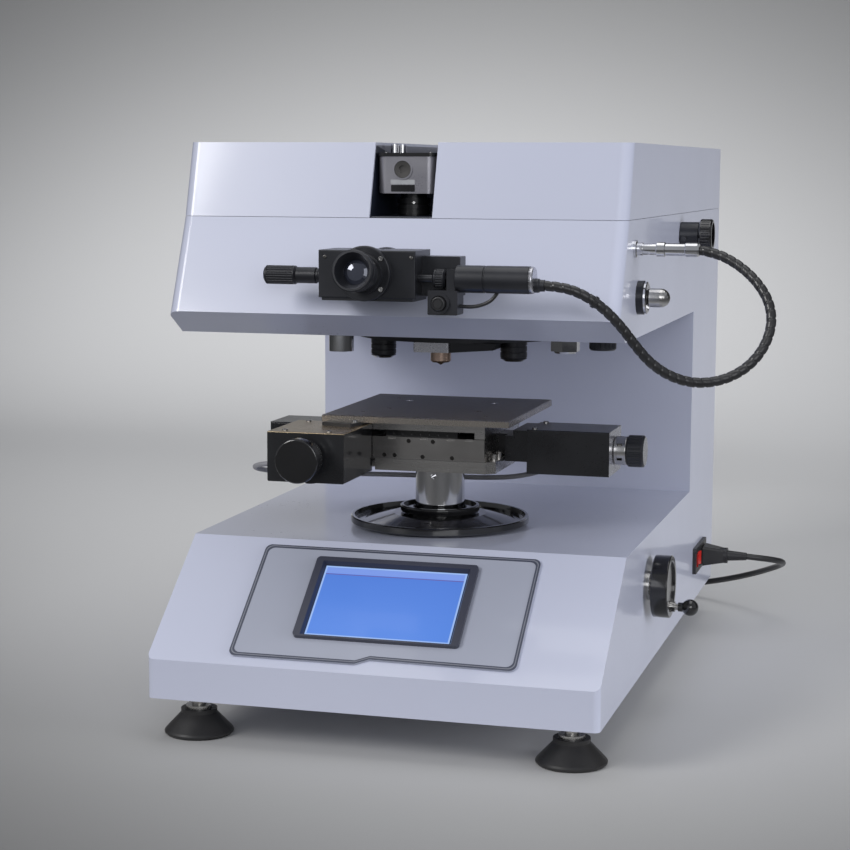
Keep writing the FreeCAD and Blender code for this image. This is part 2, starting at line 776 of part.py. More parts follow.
def shaft_bushes():
    """The bushes that carry the cross shaft in the frame's cheek and in the casing wall."""
    inner = pipe(shaft_radius + 3.0, shaft_radius + running_fit,
                 (frame_half - frame_wall - 2, 0, shaft_z), AX, frame_wall + 2)
    outer = pipe(shaft_radius + 4.5, shaft_radius + running_fit, (half - 8, 0, shaft_z), AX, 8.0)
    flange = pipe(shaft_radius + 5.0, shaft_radius + running_fit, (half, 0, shaft_z), AX, 2.0)
    washer = pipe(shaft_radius + 7.0, shaft_radius + running_fit, (half - sheet - 2, 0, shaft_z), AX, 2.0)
    return group([inner, fuse([outer, flange, washer])])


def handwheel():
    """The side handwheel: deep rim, web, hub and crank pin."""
    x = handwheel_x
    rim = pipe(handwheel_radius, handwheel_radius - handwheel_rim_wall, (x, 0, shaft_z), AX, handwheel_width)
    rim = rounded(rim, 0.9, lambda edge: edge.Length > 100)
    web = rod(handwheel_radius - 1, (x + handwheel_width - 5.0, 0, shaft_z), AX, 3.0)
    hub = rod(shaft_radius + 3.0, (x - 2.0, 0, shaft_z), AX, handwheel_width)
    y, z = polar(crank_radius, crank_angle, (0.0, shaft_z))
    boss = rod(4.0, (x + handwheel_width - 0.5, y, z), AX, 2.0)
    pin = rod(crank_pin_radius, (x + 4, y, z), AX, crank_knob_x + 3.0 - x - 4)
    bore = rod(shaft_radius, (x - 5, 0, shaft_z), AX, 9.0)
    return fuse([rim, web, hub, boss, pin]).cut(bore)


def crank_knob():
    """The ball knob that spins on the crank pin."""
    y, z = polar(crank_radius, crank_angle, (0.0, shaft_z))
    ball = Part.makeSphere(crank_knob_radius, V(crank_knob_x, y, z))
    neck = rod(3.6, (crank_knob_x - crank_knob_radius - 2.5, y, z), AX, 5.0)
    bore = rod(crank_pin_radius + running_fit, (crank_knob_x - 20, y, z), AX, 23.3)
    return fuse([ball, neck]).cut(bore)


# Cross stage

stage_base_top = spindle_top_z + stage_base_thickness
carriage_bottom = stage_base_top + seat_gap
cover_front_y = -carriage_half_y - 1.2
y_box_left = y_screw_x - y_box_width / 2
y_box_right = y_screw_x + y_box_width / 2
y_box_bottom = y_screw_z - y_box_height / 2
y_box_top = y_screw_z + y_box_height / 2
lid_thickness = 1.5
plate_bottom_z = stage_top_z - stage_plate_thickness


def stage_base():
    """The fixed lower plate of the cross stage, with the bracket for the Y screw's nut."""
    plate = block(-carriage_half_x, stage_base_right_x, -carriage_half_y, carriage_half_y,
                  spindle_top_z, stage_base_top)
    plate = plate.makeChamfer(6.5, [e for e in plate.Edges
                                    if along(e, AZ) and e.CenterOfMass.x > 50 and e.CenterOfMass.y < 0])
    notch = block(-60, y_box_right + 2, -60, cover_front_y + stage_travel + 3, spindle_top_z - 1, stage_base_top + 1)
    tongue = block(y_screw_x + nut_half - 1, -carriage_half_x + 1, -10, 10, spindle_top_z, stage_base_top)
    nut = block(y_screw_x - nut_half, y_screw_x + nut_half, -10, 10, stage_base_top - 1, y_screw_z + 5)
    bore = rod(screw_r + running_fit, (y_screw_x, -20, y_screw_z), AY, 40)
    return fuse([plate.cut(notch), tongue, nut]).cut(bore)


def y_rails():
    """Ground rails on the base plate that the Y carriage slides on, parted for the X screw."""
    return group([block(x, x + rail_width, start, end, stage_base_top, stage_base_top + rail_height)
                  for x in (-34, 34 - rail_width) for start, end in ((-44, -17), (17, 55))])


def y_carriage():
    """The middle slide, with channels for the Y rails and the X screw."""
    body = block(-carriage_half_x, carriage_half_x, -carriage_half_y, carriage_half_y,
                 carriage_bottom, y_carriage_top_z)
    channels = [block(x - seat_gap, x + rail_width + seat_gap, -60, 60, carriage_bottom - 1,
                      stage_base_top + rail_height + seat_gap) for x in (-34, 34 - rail_width)]
    screw_way = block(-60, 60, -nut_half - 1, nut_half + 1, carriage_bottom - 1, x_screw_z + screw_r + 2)
    nut_way = block(-nut_half - stage_travel - 1.5, nut_half + stage_travel + 1.5, -nut_half - 1, nut_half + 1,
                    carriage_bottom, y_carriage_top_z + 1)
    end_block = block(y_screw_x - 6, -carriage_half_x, 27, 34, carriage_bottom + 2, y_carriage_top_z - 2)
    bracket = block(limit_box_right, -carriage_half_x, -15, 15, y_carriage_top_z - 2.6, y_carriage_top_z)
    end_bore = rod(screw_r + running_fit, (y_screw_x, 20, y_screw_z), AY, 20)
    return cut(fuse([body.cut(Part.makeCompound(channels + [screw_way, nut_way])), end_block, bracket]), [end_bore])


def front_cover():
    """The steel strip on the front of the Y carriage, with notches and screw holes."""
    strip = block(y_box_right + 0.5, carriage_half_x, cover_front_y, -carriage_half_y,
                  carriage_bottom, y_carriage_top_z)
    tall = y_carriage_top_z - carriage_bottom
    notches = [block(x - 3, x + 3, -60, -50, y_carriage_top_z - 1.6, y_carriage_top_z + 1) for x in (-22, 3, 24, 38)]
    holes = [rod(1.3, (x, -60, carriage_bottom + tall * up), AY, 5)
             for x, up in ((-9, 0.84), (10, 0.84), (-28, 0.16), (-20, 0.16), (2, 0.13), (25, 0.13))]
    return cut(strip, notches + holes)


def x_rails():
    """Two dark rails across the Y carriage that the X carriage slides on."""
    rails = []
    for y in (-carriage_half_y + 3, carriage_half_y - 3 - rail_width):
        bar = block(-28, 28, y, y + rail_width, y_carriage_top_z, y_carriage_top_z + rail_height)
        holes = [rod(1.4, (x, y - 1, y_carriage_top_z + 2.4), AY, 1.8) for x in (-21, -14, -7, 0, 7, 14, 21)]
        rails.append(cut(bar, holes))
    return group(rails)


def x_carriage():
    """The upper slide: a plate with end blocks, rail channels and the X screw's nut."""
    plate = block(-carriage_half_x, carriage_half_x, -carriage_half_y, carriage_half_y,
                  x_carriage_bottom_z, plate_bottom_z)
    ends = [block(x, x + 8, -carriage_half_y, carriage_half_y, y_carriage_top_z + seat_gap, x_carriage_bottom_z)
            for x in (-carriage_half_x, carriage_half_x - 8)]
    nut = block(-nut_half, nut_half, -nut_half, nut_half, carriage_bottom + 0.7, x_carriage_bottom_z)
    channels = [block(-42, 42, y - seat_gap, y + rail_width + seat_gap, x_carriage_bottom_z - 1,
                      y_carriage_top_z + rail_height + seat_gap)
                for y in (-carriage_half_y + 3, carriage_half_y - 3 - rail_width)]
    bore = rod(screw_r + running_fit, (-20, 0, x_screw_z), AX, 40)
    return cut(fuse([plate, nut] + ends), channels + [bore])


def stage_plate():
    """The specimen plate, with its tapped holes and countersunk fixings."""
    plate = block(-stage_plate_x / 2, stage_plate_x / 2, -stage_plate_y / 2, stage_plate_y / 2,
                  plate_bottom_z, stage_top_z)
    plate = plate.makeChamfer(0.6, [e for e in plate.Edges if e.CenterOfMass.z > stage_top_z - 0.1])
    holes = [rod(stage_hole_radius, (sx * stage_hole_x / 2, sy * stage_hole_y / 2, plate_bottom_z - 1), AZ, 10)
             for sx in (-1, 1) for sy in (-1, 1)]
    sinks = [Part.makeCone(1.5, 3.2, 1.8, V(x, y, stage_top_z - 1.8), AZ) for x, y in plate_screw_places]
    return cut(plate, holes + sinks)


plate_screw_places = [(x, y) for x in (-35.0, 35.0) for y in (-20.0, 34.0)]


def plate_screws():
    """Countersunk screws that hold the specimen plate."""
    screws = []
    for x, y in plate_screw_places:
        socket = prism([polar(1.2, 60 * i, (x, y)) for i in range(6)], AZ, stage_top_z - 1.2, 3)
        screws.append(Part.makeCone(1.5, 3.1, 1.6, V(x, y, stage_top_z - 1.8), AZ).cut(socket))
    return group(screws)


def stage_bolts():
    """Socket screws along the base plate's right ledge."""
    bolts = []
    for y in (-42, -27, 27, 42):
        head = rod(2.6, (carriage_half_x + 3.5, y, stage_base_top), AZ, 4.5)
        socket = prism([polar(1.5, 60 * i, (carriage_half_x + 3.5, y)) for i in range(6)], AZ, stage_base_top + 2, 5)
        bolts.append(head.cut(socket))
    return group(bolts)


def y_motor_box():
    """The black box of the Y drive, left of the stage's front."""
    top = y_box_top - lid_thickness
    outer = block(y_box_left, y_box_right, y_box_front_y, cover_front_y, y_box_bottom, top)
    outer = rounded(outer, 1.0, lambda edge: along(edge, AY) and edge.CenterOfMass.z < y_box_bottom + 1)
    inner = block(y_box_left + box_wall, y_box_right - box_wall, y_box_front_y + box_wall, cover_front_y - box_wall,
                  y_box_bottom + box_wall, top + 1)
    bore = rod(screw_r + 0.6, (y_screw_x, y_box_front_y - 5, y_screw_z), AY, 90)
    boss = pipe(5.0, screw_r + 0.6, (y_screw_x, y_box_front_y - 1.5, y_screw_z), AY, 2.0)
    gland = rod(4.0, (y_screw_x - 4, y_box_front_y + 24, y_box_bottom - 4), AZ, 4.5)
    return fuse([outer.cut(inner).cut(bore), boss, gland])


def y_box_lid():
    """The lid of the Y drive box."""
    lid = block(y_box_left, y_box_right, y_box_front_y, cover_front_y, y_box_top - lid_thickness, y_box_top)
    return rounded(lid, 0.6, lambda edge: edge.CenterOfMass.z > y_box_top - 0.1)


def x_motor_box():
    """The black box of the X drive, right of the stage."""
    outer = block(x_box_left, x_box_right - box_wall, -x_box_depth / 2, x_box_depth / 2, x_box_bottom_z, x_box_top_z)
    outer = rounded(outer, 1.0, lambda edge: along(edge, AX))
    inner = block(x_box_left + box_wall, x_box_right, -x_box_depth / 2 + box_wall, x_box_depth / 2 - box_wall,
                  x_box_bottom_z + box_wall, x_box_top_z - box_wall)
    bore = rod(screw_r + 0.6, (x_box_left - 5, 0, x_screw_z), AX, 90)
    gland = rod(3.5, (stage_gland_x, x_box_depth / 2 - 0.5, stage_gland_z), AY, 4.5)
    return fuse([outer.cut(inner).cut(bore), gland])


def x_end_plate():
    """The plain metal end plate of the X drive box."""
    plate = block(x_box_right - box_wall, x_box_right, -x_box_depth / 2, x_box_depth / 2, x_box_bottom_z, x_box_top_z)
    plate = rounded(plate, 1.0, lambda edge: along(edge, AX))
    return plate.cut(rod(screw_r + 0.6, (x_box_left - 5, 0, x_screw_z), AX, 90))


def x_bearing():
    """The stepped bearing block that joins the X drive box to the Y carriage."""
    top = y_carriage_top_z - 0.5
    steps = [block(carriage_half_x, x_box_left, -11.5, 11.5, carriage_bottom + 0.5, top),
             block(stage_base_right_x + 0.5, x_box_left, -24, 24, x_box_bottom_z + 9, top),
             block(x_box_left - 11, x_box_left, -24, 24, top - 0.5, x_box_top_z - 1)]
    return fuse(steps).cut(rod(screw_r + running_fit, (0, 0, x_screw_z), AX, 90))


def limit_switch_box():
    """The closed box of the stage's end switches, left of the stage."""
    outer = block(limit_box_left, limit_box_right, -22.5, 22.5, limit_box_bottom_z, y_carriage_top_z + 3)
    outer = rounded(outer, 1.2, lambda edge: along(edge, AX) or along(edge, AZ))
    inner = block(limit_box_left + box_wall, limit_box_right - box_wall, -22.5 + box_wall, 22.5 - box_wall,
                  limit_box_bottom_z - 1, y_carriage_top_z + 1)
    return outer.cut(inner)


def stage_motors():
    """The two small motors inside the drive boxes."""
    side = 32.0
    y_motor = block(y_screw_x - side / 2, y_screw_x + side / 2, y_box_front_y + 12, y_box_front_y + 52,
                    y_screw_z - side / 2, y_screw_z + side / 2)
    y_motor = rounded(y_motor, 3.0, lambda edge: along(edge, AY))
    y_plate = block(y_screw_x - side / 2, y_screw_x + side / 2, y_box_front_y + 52, cover_front_y - box_wall,
                    y_box_bottom + box_wall, y_box_bottom + box_wall + 3)
    side_x = 28.0
    x_motor = block(x_box_left + 14, x_box_left + 48, -side_x / 2, side_x / 2,
                    x_box_bottom_z + box_wall, x_box_bottom_z + box_wall + side_x)
    x_motor = rounded(x_motor, 2.5, lambda edge: along(edge, AX) and edge.CenterOfMass.z > x_screw_z)
    return group([fuse([y_motor, y_plate]).cut(rod(screw_r + 0.6, (y_screw_x, -200, y_screw_z), AY, 200)),
                  x_motor.cut(rod(screw_r + 0.6, (0, 0, x_screw_z), AX, 200))])


def knob_grip(radius, length, origin, axis, ribs):
    """A turned grip with shallow straight flutes."""
    edge = 1.2
    body = turned([(0, 0), (radius - edge, 0), (radius, edge), (radius, length - edge),
                   (radius - edge, length), (0, length)], (0, 0, 0), AZ)
    flutes = []
    for i in range(ribs):
        x, y = polar(radius + 0.35, 360.0 * i / ribs)
        flutes.append(rod(0.8, (x, y, 2.0), AZ, length - 4.0))
    body = body.cut(Part.makeCompound(flutes))
    if axis is AX:
        body.rotate(V(0, 0, 0), AY, 90)
    elif axis is AY:
        body.rotate(V(0, 0, 0), AX, -90)
    body.translate(V(*origin))
    return body


def y_screw():
    """The Y leadscrew, from the knob through the motor to its end bearing."""
    return rod(screw_r, (y_screw_x, y_box_front_y - 6, y_screw_z), AY, 34 - y_box_front_y + 6)


def y_knob():
    """The hand knob on the Y screw: a plain disc in front of a fluted grip."""
    front = y_box_front_y - y_knob_length
    disc = rod(y_knob_radius, (y_screw_x, front, y_screw_z), AY, y_knob_disc)
    disc = rounded(disc, 1.4, lambda edge: edge.Length > 2 * y_knob_radius)
    grip = knob_grip(y_knob_radius - 1.8, y_knob_length - y_knob_disc - 1.5,
                     (y_screw_x, front + y_knob_disc - 1.0, y_screw_z), AY, 28)
    neck = rod(9.0, (y_screw_x, y_box_front_y - 3.0, y_screw_z), AY, 1.2)
    return fuse([disc, grip, neck]).cut(rod(screw_r, (y_screw_x, y_box_front_y - 6, y_screw_z), AY, 10))


def x_screw():
    """The X leadscrew, from the carriage through the motor to the knob."""
    return rod(screw_r, (-carriage_half_x + 4, 0, x_screw_z), AX,
               x_box_right + x_neck_length + 6 + carriage_half_x - 4)


def x_knob():
    """The slotted clamping neck and hand knob on the X screw."""
    neck = pipe(x_neck_radius, screw_r, (x_box_right + seat_gap, 0, x_screw_z), AX, x_neck_length)
    neck = rounded(neck, 0.8, lambda edge: edge.Length > 60)
    slots = [block(x_box_right + 3, x_box_right + 7, -1.2, 1.2, x_screw_z + 5, x_screw_z + 15)]
    for i in range(1, 6):
        slot = slots[0].copy()
        slot.rotate(V(0, 0, x_screw_z), AX, 60 * i)
        slots.append(slot)
    grip = knob_grip(x_knob_radius, x_knob_length, (x_box_right + seat_gap + x_neck_length, 0, x_screw_z), AX, 24)
    bore = rod(screw_r, (x_box_right - 5, 0, x_screw_z), AX, 11 + x_neck_length)
    return fuse([neck.cut(Part.makeCompound(slots)), grip]).cut(bore)


# Turret and indenter

def station(step):
    """Centre of a turret station: 0 is the one over the spindle."""
    return polar(turret_station_radius, -90.0 + step * turret_step, (0.0, turret_y))


left_station = station(-1)
right_station = station(1)


def turret():
    """The swinging sector plate with its hub, shaft and the tapered arm of the right objective."""
    disc = rod(turret_station_radius + station_pad, (0, turret_y, turret_plate_bottom_z), AZ,
               turret_plate_top_z - turret_plate_bottom_z)
    spread = turret_step + 12.0
    reach = 2 * turret_station_radius
    wedge = prism([(0.0, turret_y + 1.0), polar(reach, -90 - spread, (0, turret_y)),
                   polar(reach, -90, (0, turret_y)), polar(reach, -90 + spread, (0, turret_y))],
                  AZ, turret_plate_bottom_z - 1, 20)
    sector = disc.common(wedge)
    inner_cut = rod(turret_hub_radius + 16, (0, turret_y, turret_plate_bottom_z + 5), AZ, 10)
    hub = rod(turret_hub_radius, (0, turret_y, turret_plate_bottom_z), AZ, arm_bottom_z - 0.4 - turret_plate_bottom_z)
    shaft = rod(turret_shaft_radius, (0, turret_y, turret_plate_bottom_z), AZ,
                arm_bottom_z + arm_plate + 9 - turret_plate_bottom_z)
    arm = prism([(9.2, turret_plate_bottom_z), (9.2, clamp_bottom_z), (44, clamp_bottom_z + 2.8),
                 (46, turret_plate_bottom_z)], AY, -9, 27)
    sx, sy = right_station
    arm = arm.cut(rod(right_objective_radius + 0.2, (sx, sy, objective_bottom_z - 5), AZ, 30))
    bores = [rod(indenter_shaft_radius + running_fit, (0, 0, clamp_bottom_z - 3), AZ, 30)]
    bores += [rod(6.0, (x, y, clamp_bottom_z - 3), AZ, 30) for x, y in (left_station, right_station)]
    return cut(fuse([sector.cut(inner_cut), hub, shaft, arm]), bores)


def objective(place, radius, steps):
    """A turned objective with grip bands, a tapered nose and a threaded neck in the plate."""
    x, y = place
    bottom = objective_bottom_z
    top = turret_plate_bottom_z
    profile = [(0, bottom + 0.8), (radius - 4.5, bottom + 0.8), (radius - 4.5, bottom), (radius - 3.0, bottom),
               (radius, bottom + 2.2)]
    for share in steps:
        z = bottom + 2.2 + (top - bottom - 2.2) * share
        profile += [(radius, z), (radius - 0.5, z + 0.3), (radius - 0.5, z + 0.9), (radius, z + 1.2)]
    profile += [(radius, top - 0.1), (5.95, top - 0.1), (5.95, turret_plate_top_z - 1.0),
                (3.5, turret_plate_top_z - 1.0), (3.5, bottom + 4.0), (0, bottom + 4.0)]
    return turned(profile, (x, y, 0), AZ)


def indenter_clamp():
    """The split block that carries the indenter under the plate."""
    body = block(-19.5, 9.0, -10.5, 10.5, clamp_bottom_z, turret_plate_bottom_z)
    body = rounded(body, 1.5, lambda edge: along(edge, AZ))
    bore = rod(indenter_radius + running_fit, (0, 0, clamp_bottom_z - 3), AZ, 20)
    split = block(-30, 0, -0.6, 0.6, clamp_bottom_z - 3, turret_plate_bottom_z + 1)
    return cut(body, [bore, split])


def indenter():
    """The indenter: holder, guided shaft and pyramid point."""
    holder = rod(indenter_radius, (0, 0, holder_bottom_z), AZ, turret_plate_bottom_z - 0.6 - holder_bottom_z)
    holder = holder.makeChamfer(1.2, [e for e in holder.Edges if e.CenterOfMass.z < holder_bottom_z + 0.1])
    shaft = rod(indenter_shaft_radius, (0, 0, holder_bottom_z + 1), AZ,
                turret_plate_top_z + 0.5 - holder_bottom_z)
    cone = Part.makeCone(0.3, 4.2, holder_bottom_z + 0.1 - indenter_tip_z, V(0, 0, indenter_tip_z), AZ)
    return fuse([holder, shaft, cone])


def spur_gear(module, teeth, x, y, z, thickness, bore, phase, share):
    """A flat gear with tapered teeth."""
    pitch = module * teeth / 2.0
    points = []
    for i in range(teeth):
        middle = phase + 360.0 * i / teeth
        width = 360.0 / teeth
        root, tip = pitch - 1.25 * module, pitch + 0.9 * module
        for radius, side in ((root, -0.5 * share - 0.12), (tip, -0.5 * share + 0.12),
                             (tip, 0.5 * share - 0.12), (root, 0.5 * share + 0.12)):
            points.append(polar(radius, middle + width * side, (x, y)))
    gear = prism(points, AZ, z, thickness)
    return gear.cut(rod(bore, (x, y, z - 1), AZ, thickness + 2))


turret_module = 1.5
turret_gear_teeth = 40
turret_pinion_teeth = 14
turret_gear_z = arm_bottom_z + arm_plate + 1.0
turret_motor_x = turret_module * (turret_gear_teeth + turret_pinion_teeth) / 2.0


def turret_gear():
    """The gear on the turret's shaft."""
    return spur_gear(turret_module, turret_gear_teeth, 0, turret_y, turret_gear_z, 6.0, turret_shaft_radius,
                     0.0, 0.46)


def turret_pinion():
    """The motor pinion that turns the turret."""
    gear = spur_gear(turret_module, turret_pinion_teeth, turret_motor_x, turret_y, turret_gear_z, 6.0, 2.5,
                     180.0 + 180.0 / turret_pinion_teeth, 0.46)
    shaft = rod(2.5, (turret_motor_x, turret_y, turret_gear_z), AZ, 12)
    return fuse([gear, shaft])


def turret_motor():
    """The turret's gear motor on two posts."""
    x, y = turret_motor_x, turret_y
    low = turret_gear_z + 9.0
    body = block(x - 15, x + 15, y - 15, y + 15, low, low + 34)
    body = rounded(body, 3.0, lambda edge: along(edge, AZ))
    posts = [rod(2.5, (x + 12, y + s * 12, arm_bottom_z + arm_plate), AZ, low - arm_bottom_z - arm_plate + 1)
             for s in (-1, 1)]
    return fuse([body] + posts).cut(rod(2.9, (x, y, low - 1), AZ, 10))


# Inner frame and load mechanism

def main_frame():
    """The cast C frame: cheeks, floor, bridge, column and arm."""
    h, w = frame_half, frame_wall
    frame_bridge_top = frame_bridge_z + frame_bridge_thickness
    pieces = []
    for side in (-1, 1):
        x0, x1 = sorted((side * h, side * (h - w)))
        pieces.append(block(x0, x1, frame_front_y, frame_rear_y, frame_base_z, frame_bridge_top))
        pieces.append(block(x0, x1, frame_rear_y - 106, frame_rear_y, frame_base_z, arm_top_z))
        pieces.append(block(x0, x1, -20, frame_rear_y, arm_bottom_z, arm_top_z))
    pieces.append(block(-h, h, frame_front_y, frame_rear_y, frame_base_z, frame_base_z + w))
    pieces.append(block(-h, h, frame_front_y, -frame_front_y, frame_bridge_z, frame_bridge_top))
    pieces.append(block(-h, h, frame_rear_y - w, frame_rear_y, frame_base_z, arm_top_z))
    pieces.append(block(-h, h, -30, frame_rear_y, arm_bottom_z, arm_bottom_z + arm_plate))
    pieces.append(block(-30, 30, optics_front_y - 2, 0, arm_bottom_z, arm_bottom_z + arm_plate))
    rib = prism([(frame_rear_y - w, base_top_z + 10), (frame_rear_y - 60, arm_bottom_z),
                 (frame_rear_y - w, arm_bottom_z)], AX, -w / 2, w)
    pieces.append(rib)
    for x in (-21, 11):
        pieces.append(block(x, x + 10, lever_pivot_y - 8, lever_pivot_y + 8,
                            arm_bottom_z + arm_plate, lever_bottom_z + lever_height + 3))
    pieces.append(block(h - w, h, selector_y - 12, selector_y + 12, arm_top_z, selector_z + 9))
    frame = fuse(pieces)
    bores = [rod(hub_radius + 4.0, (0, 0, frame_bridge_z - 1), AZ, 20),
             rod(17.0, (0, 0, frame_base_z - 1), AZ, 20),
             rod(shaft_radius + 3.0, (h - w - 1, 0, shaft_z), AX, w + 2),
             rod(turret_shaft_radius + running_fit, (0, turret_y, arm_bottom_z - 1), AZ, 20),
             rod(10.0, (0, 0, arm_bottom_z - 1), AZ, 20),
             rod(lever_pivot_radius, (-22, lever_pivot_y, lever_bottom_z + lever_height / 2), AX, 44),
             rod(4.0 + running_fit, (h - w - 1, selector_y, selector_z), AX, w + 2)]
    windows = []
    for z0, z1 in ((149, 209), (221, 281)):
        window = block(-h - 1, h + 1, frame_rear_y - 90, frame_rear_y - 30, z0, z1)
        windows.append(rounded(window, 8.0, lambda edge: along(edge, AX)))
    return cut(frame, bores + windows)


def frame_pads():
    """Six spacers between the frame and the bottom plate."""
    return group([rod(8.0, (x, y, base_bottom_z + sheet), AZ, frame_base_z - base_bottom_z - sheet)
                  for x in (10 - frame_half, frame_half - 10)
                  for y in (frame_front_y + 12, (frame_front_y + frame_rear_y) / 2 - 2, frame_rear_y - 16)])


def load_lever():
    """The load beam with a ring over the indenter and a boss at its pivot."""
    mid_z = lever_bottom_z + lever_height / 2
    beam = block(-lever_width / 2, lever_width / 2, 0, lever_pivot_y, lever_bottom_z, lever_bottom_z + lever_height)
    ring = rod(11.0, (0, 0, lever_bottom_z), AZ, lever_height)
    boss = rod(lever_height / 2 + 2, (-lever_width / 2, lever_pivot_y, mid_z), AX, lever_width)
    seat = rod(weight_radius - 3, (0, turret_y, lever_bottom_z + lever_height - 2), AZ, 2.0)
    solid = fuse([beam, ring, boss, seat])
    bores = [rod(4.5, (0, 0, lever_bottom_z - 1), AZ, 20),
             rod(lever_pivot_radius + running_fit, (-20, lever_pivot_y, mid_z), AX, 40)]
    slots = [rounded(block(-3.5, 3.5, y, y + 26, lever_bottom_z - 1, lever_bottom_z + 20), 3.3,
                     lambda edge: along(edge, AZ)) for y in (18, 104)]
    return cut(solid, bores + slots)


def push_rod():
    """The hollow rod that carries the load down to the indenter."""
    tube = pipe(7.0, 4.5, (0, 0, turret_plate_top_z + 4.0), AZ, lever_bottom_z - turret_plate_top_z - 4.0)
    foot = pipe(7.0, 2.0, (0, 0, turret_plate_top_z + 1.8), AZ, 2.2)
    return fuse([tube, foot])


def deadweights():
    """The slotted weights stacked on the lever."""
    weights = []
    low = lever_bottom_z + lever_height
    for i in range(weight_count):
        disc = rod(weight_radius, (0, turret_y, low + i * weight_thickness), AZ, weight_thickness - 0.2)
        disc = disc.makeChamfer(0.6, [e for e in disc.Edges if e.Length > 100])
        slot = block(-2.2, 2.2, turret_y, turret_y + 30, low - 1, low + 60)
        slot.rotate(V(0, turret_y, 0), AZ, 180 * (i % 2))
        weights.append(disc.cut(fuse([slot, rod(3.2, (0, turret_y, low - 1), AZ, 60)])))
    return group(weights)


def lever_pin():
    """The pivot pin of the load lever."""
    mid_z = lever_bottom_z + lever_height / 2
    pin = rod(lever_pivot_radius, (-23, lever_pivot_y, mid_z), AX, 45)
    head = rod(lever_pivot_radius + 2, (21, lever_pivot_y, mid_z), AX, 2.5)
    return fuse([pin, head])


def selector_shaft():
    """The force selector's shaft with its lifting cam."""
    bar = rod(4.0, (16, selector_y, selector_z), AX, half + 18 - 16)
    cam = rod(9.0, (16, selector_y + 4, selector_z), AX, 6.0)
    disc = rod(8.0, (frame_half + seat_gap, selector_y, selector_z), AX, 4.0)
    return fuse([bar, cam, disc])


def selector_collar():
    """The fixed collar of the force selector on the head's side, with its clamp screw."""
    body = pipe(selector_radius, 4.0 + running_fit, (half, selector_y, selector_z), AX, 15.2)
    body = rounded(body, 0.7, lambda edge: edge.Length > 60)
    screw = rod(2.0, (half + 4, selector_y - selector_radius - 2.5, selector_z - 3), AY, 5)
    return fuse([body, screw])


def selector_knob():
    """The turning ring of the force selector, hollow at its outer end."""
    grip = knob_grip(selector_ring_radius, 10.6, (half + 15.5, selector_y, selector_z), AX, 30)
    hollow = rod(selector_ring_radius - 3.0, (half + 15.5 + 4.5, selector_y, selector_z), AX, 10)
    bore = rod(4.0, (half + 10, selector_y, selector_z), AX, 8.0)
    return cut(grip, [hollow, bore])


# Optics, camera and filar eyepiece

def optics_block():
    """The beam splitter housing on the arm, with the tunnel for the path slide."""
    top = seam_z - 3.0
    body = block(-20, 20, optics_front_y, optics_front_y + optics_depth, arm_bottom_z + arm_plate, top)
    body = rounded(body, 2.5, lambda edge: along(edge, AZ))
    bores = [rod(10.0, (0, camera_axis_y, eyepiece_z), AZ, 60), rod(7.5, (0, -110, eyepiece_z), AY, 60),
             block(-30, 30, pull_y - 7, pull_y + 7, pull_z - 7, pull_z + 7)]
    return cut(body, bores)


def path_slide():
    """The slide inside the optics block, with its pull rod through the side of the head."""
    body = block(-14, 14, pull_y - 6.6, pull_y + 6.6, pull_z - 6.6, pull_z + 6.6)
    well = rod(4.5, (0, pull_y, pull_z - 10), AZ, 20)
    bar = rod(3.0, (10, pull_y, pull_z), AX, half + 8 - 10)
    return fuse([body.cut(well), bar])


def optical_tube():
    """The tube and prism house between the indenter's axis and the optics block."""
    tube = pipe(9.0, 7.5, (0, optics_front_y + optics_depth, eyepiece_z), AY,
                -12 - optics_front_y - optics_depth)
    house = block(-13, 13, -13, 13, lever_bottom_z + lever_height + 3, eyepiece_z + 12)
    house = rounded(house, 2.0, lambda edge: along(edge, AZ))
    well = rod(6.0, (0, 0, lever_bottom_z), AZ, eyepiece_z + 4 - lever_bottom_z)
    return fuse([tube, house]).cut(Part.makeCompound([well, rod(7.5, (0, -30, eyepiece_z), AY, 30)]))


def camera_body():
    """The camera head: rounded upright case with a socket, on its lens tube."""
    wide = camera_width / 2
    case = block(camera_x - wide, camera_x + wide, camera_front_y, camera_front_y + camera_depth,
                 camera_bottom_z, camera_top_z)
    case = rounded(case, 7.0, lambda edge: along(edge, AZ))
    socket_x = camera_x - 2.5
    socket_z = camera_bottom_z + 17.2
    ring = pipe(7.4, 6.2, (socket_x, camera_front_y - 0.6, socket_z), AY, 2.0)
    well = rod(2.8, (socket_x, camera_front_y - 1, socket_z), AY, 7)
    return fuse([case, ring]).cut(well)


def camera_plate():
    """The thin dark top plate of the camera."""
    wide = camera_width / 2 + 0.6
    plate = block(camera_x - wide, camera_x + wide, camera_front_y - 0.6, camera_front_y + camera_depth + 0.6,
                  camera_top_z, camera_top_z + 2.6)
    return rounded(plate, 6.0, lambda edge: along(edge, AZ))


def camera_connectors():
    """Two small metal barrels on top of the camera."""
    z = camera_top_z + 2.6
    first = pipe(2.7, 1.7, (camera_x - 14.4, camera_axis_y - 8, z), AZ, 6.5)
    second = rod(3.1, (camera_x - 8.4, camera_axis_y - 8, z), AZ, 6.0)
    return group([first, second])


def lens_tube():
    """The ringed lens tube between the camera and the optics block."""
    low = seam_z - 3.0
    profile = [(6.0, low)]
    z = low
    for radius, tall in ((lens_radius - 1.0, 5.0), (lens_radius, 3.4), (lens_radius - 0.7, 0.9), (lens_radius, 2.6),
                         (lens_radius - 1.4, 1.2), (lens_radius, 4.0), (lens_radius - 2.4, 3.4)):
        profile += [(radius, z), (radius, z + tall)]
        z += tall
    profile += [(6.0, z)]
    return turned(profile, (0, camera_axis_y, 0), AZ)


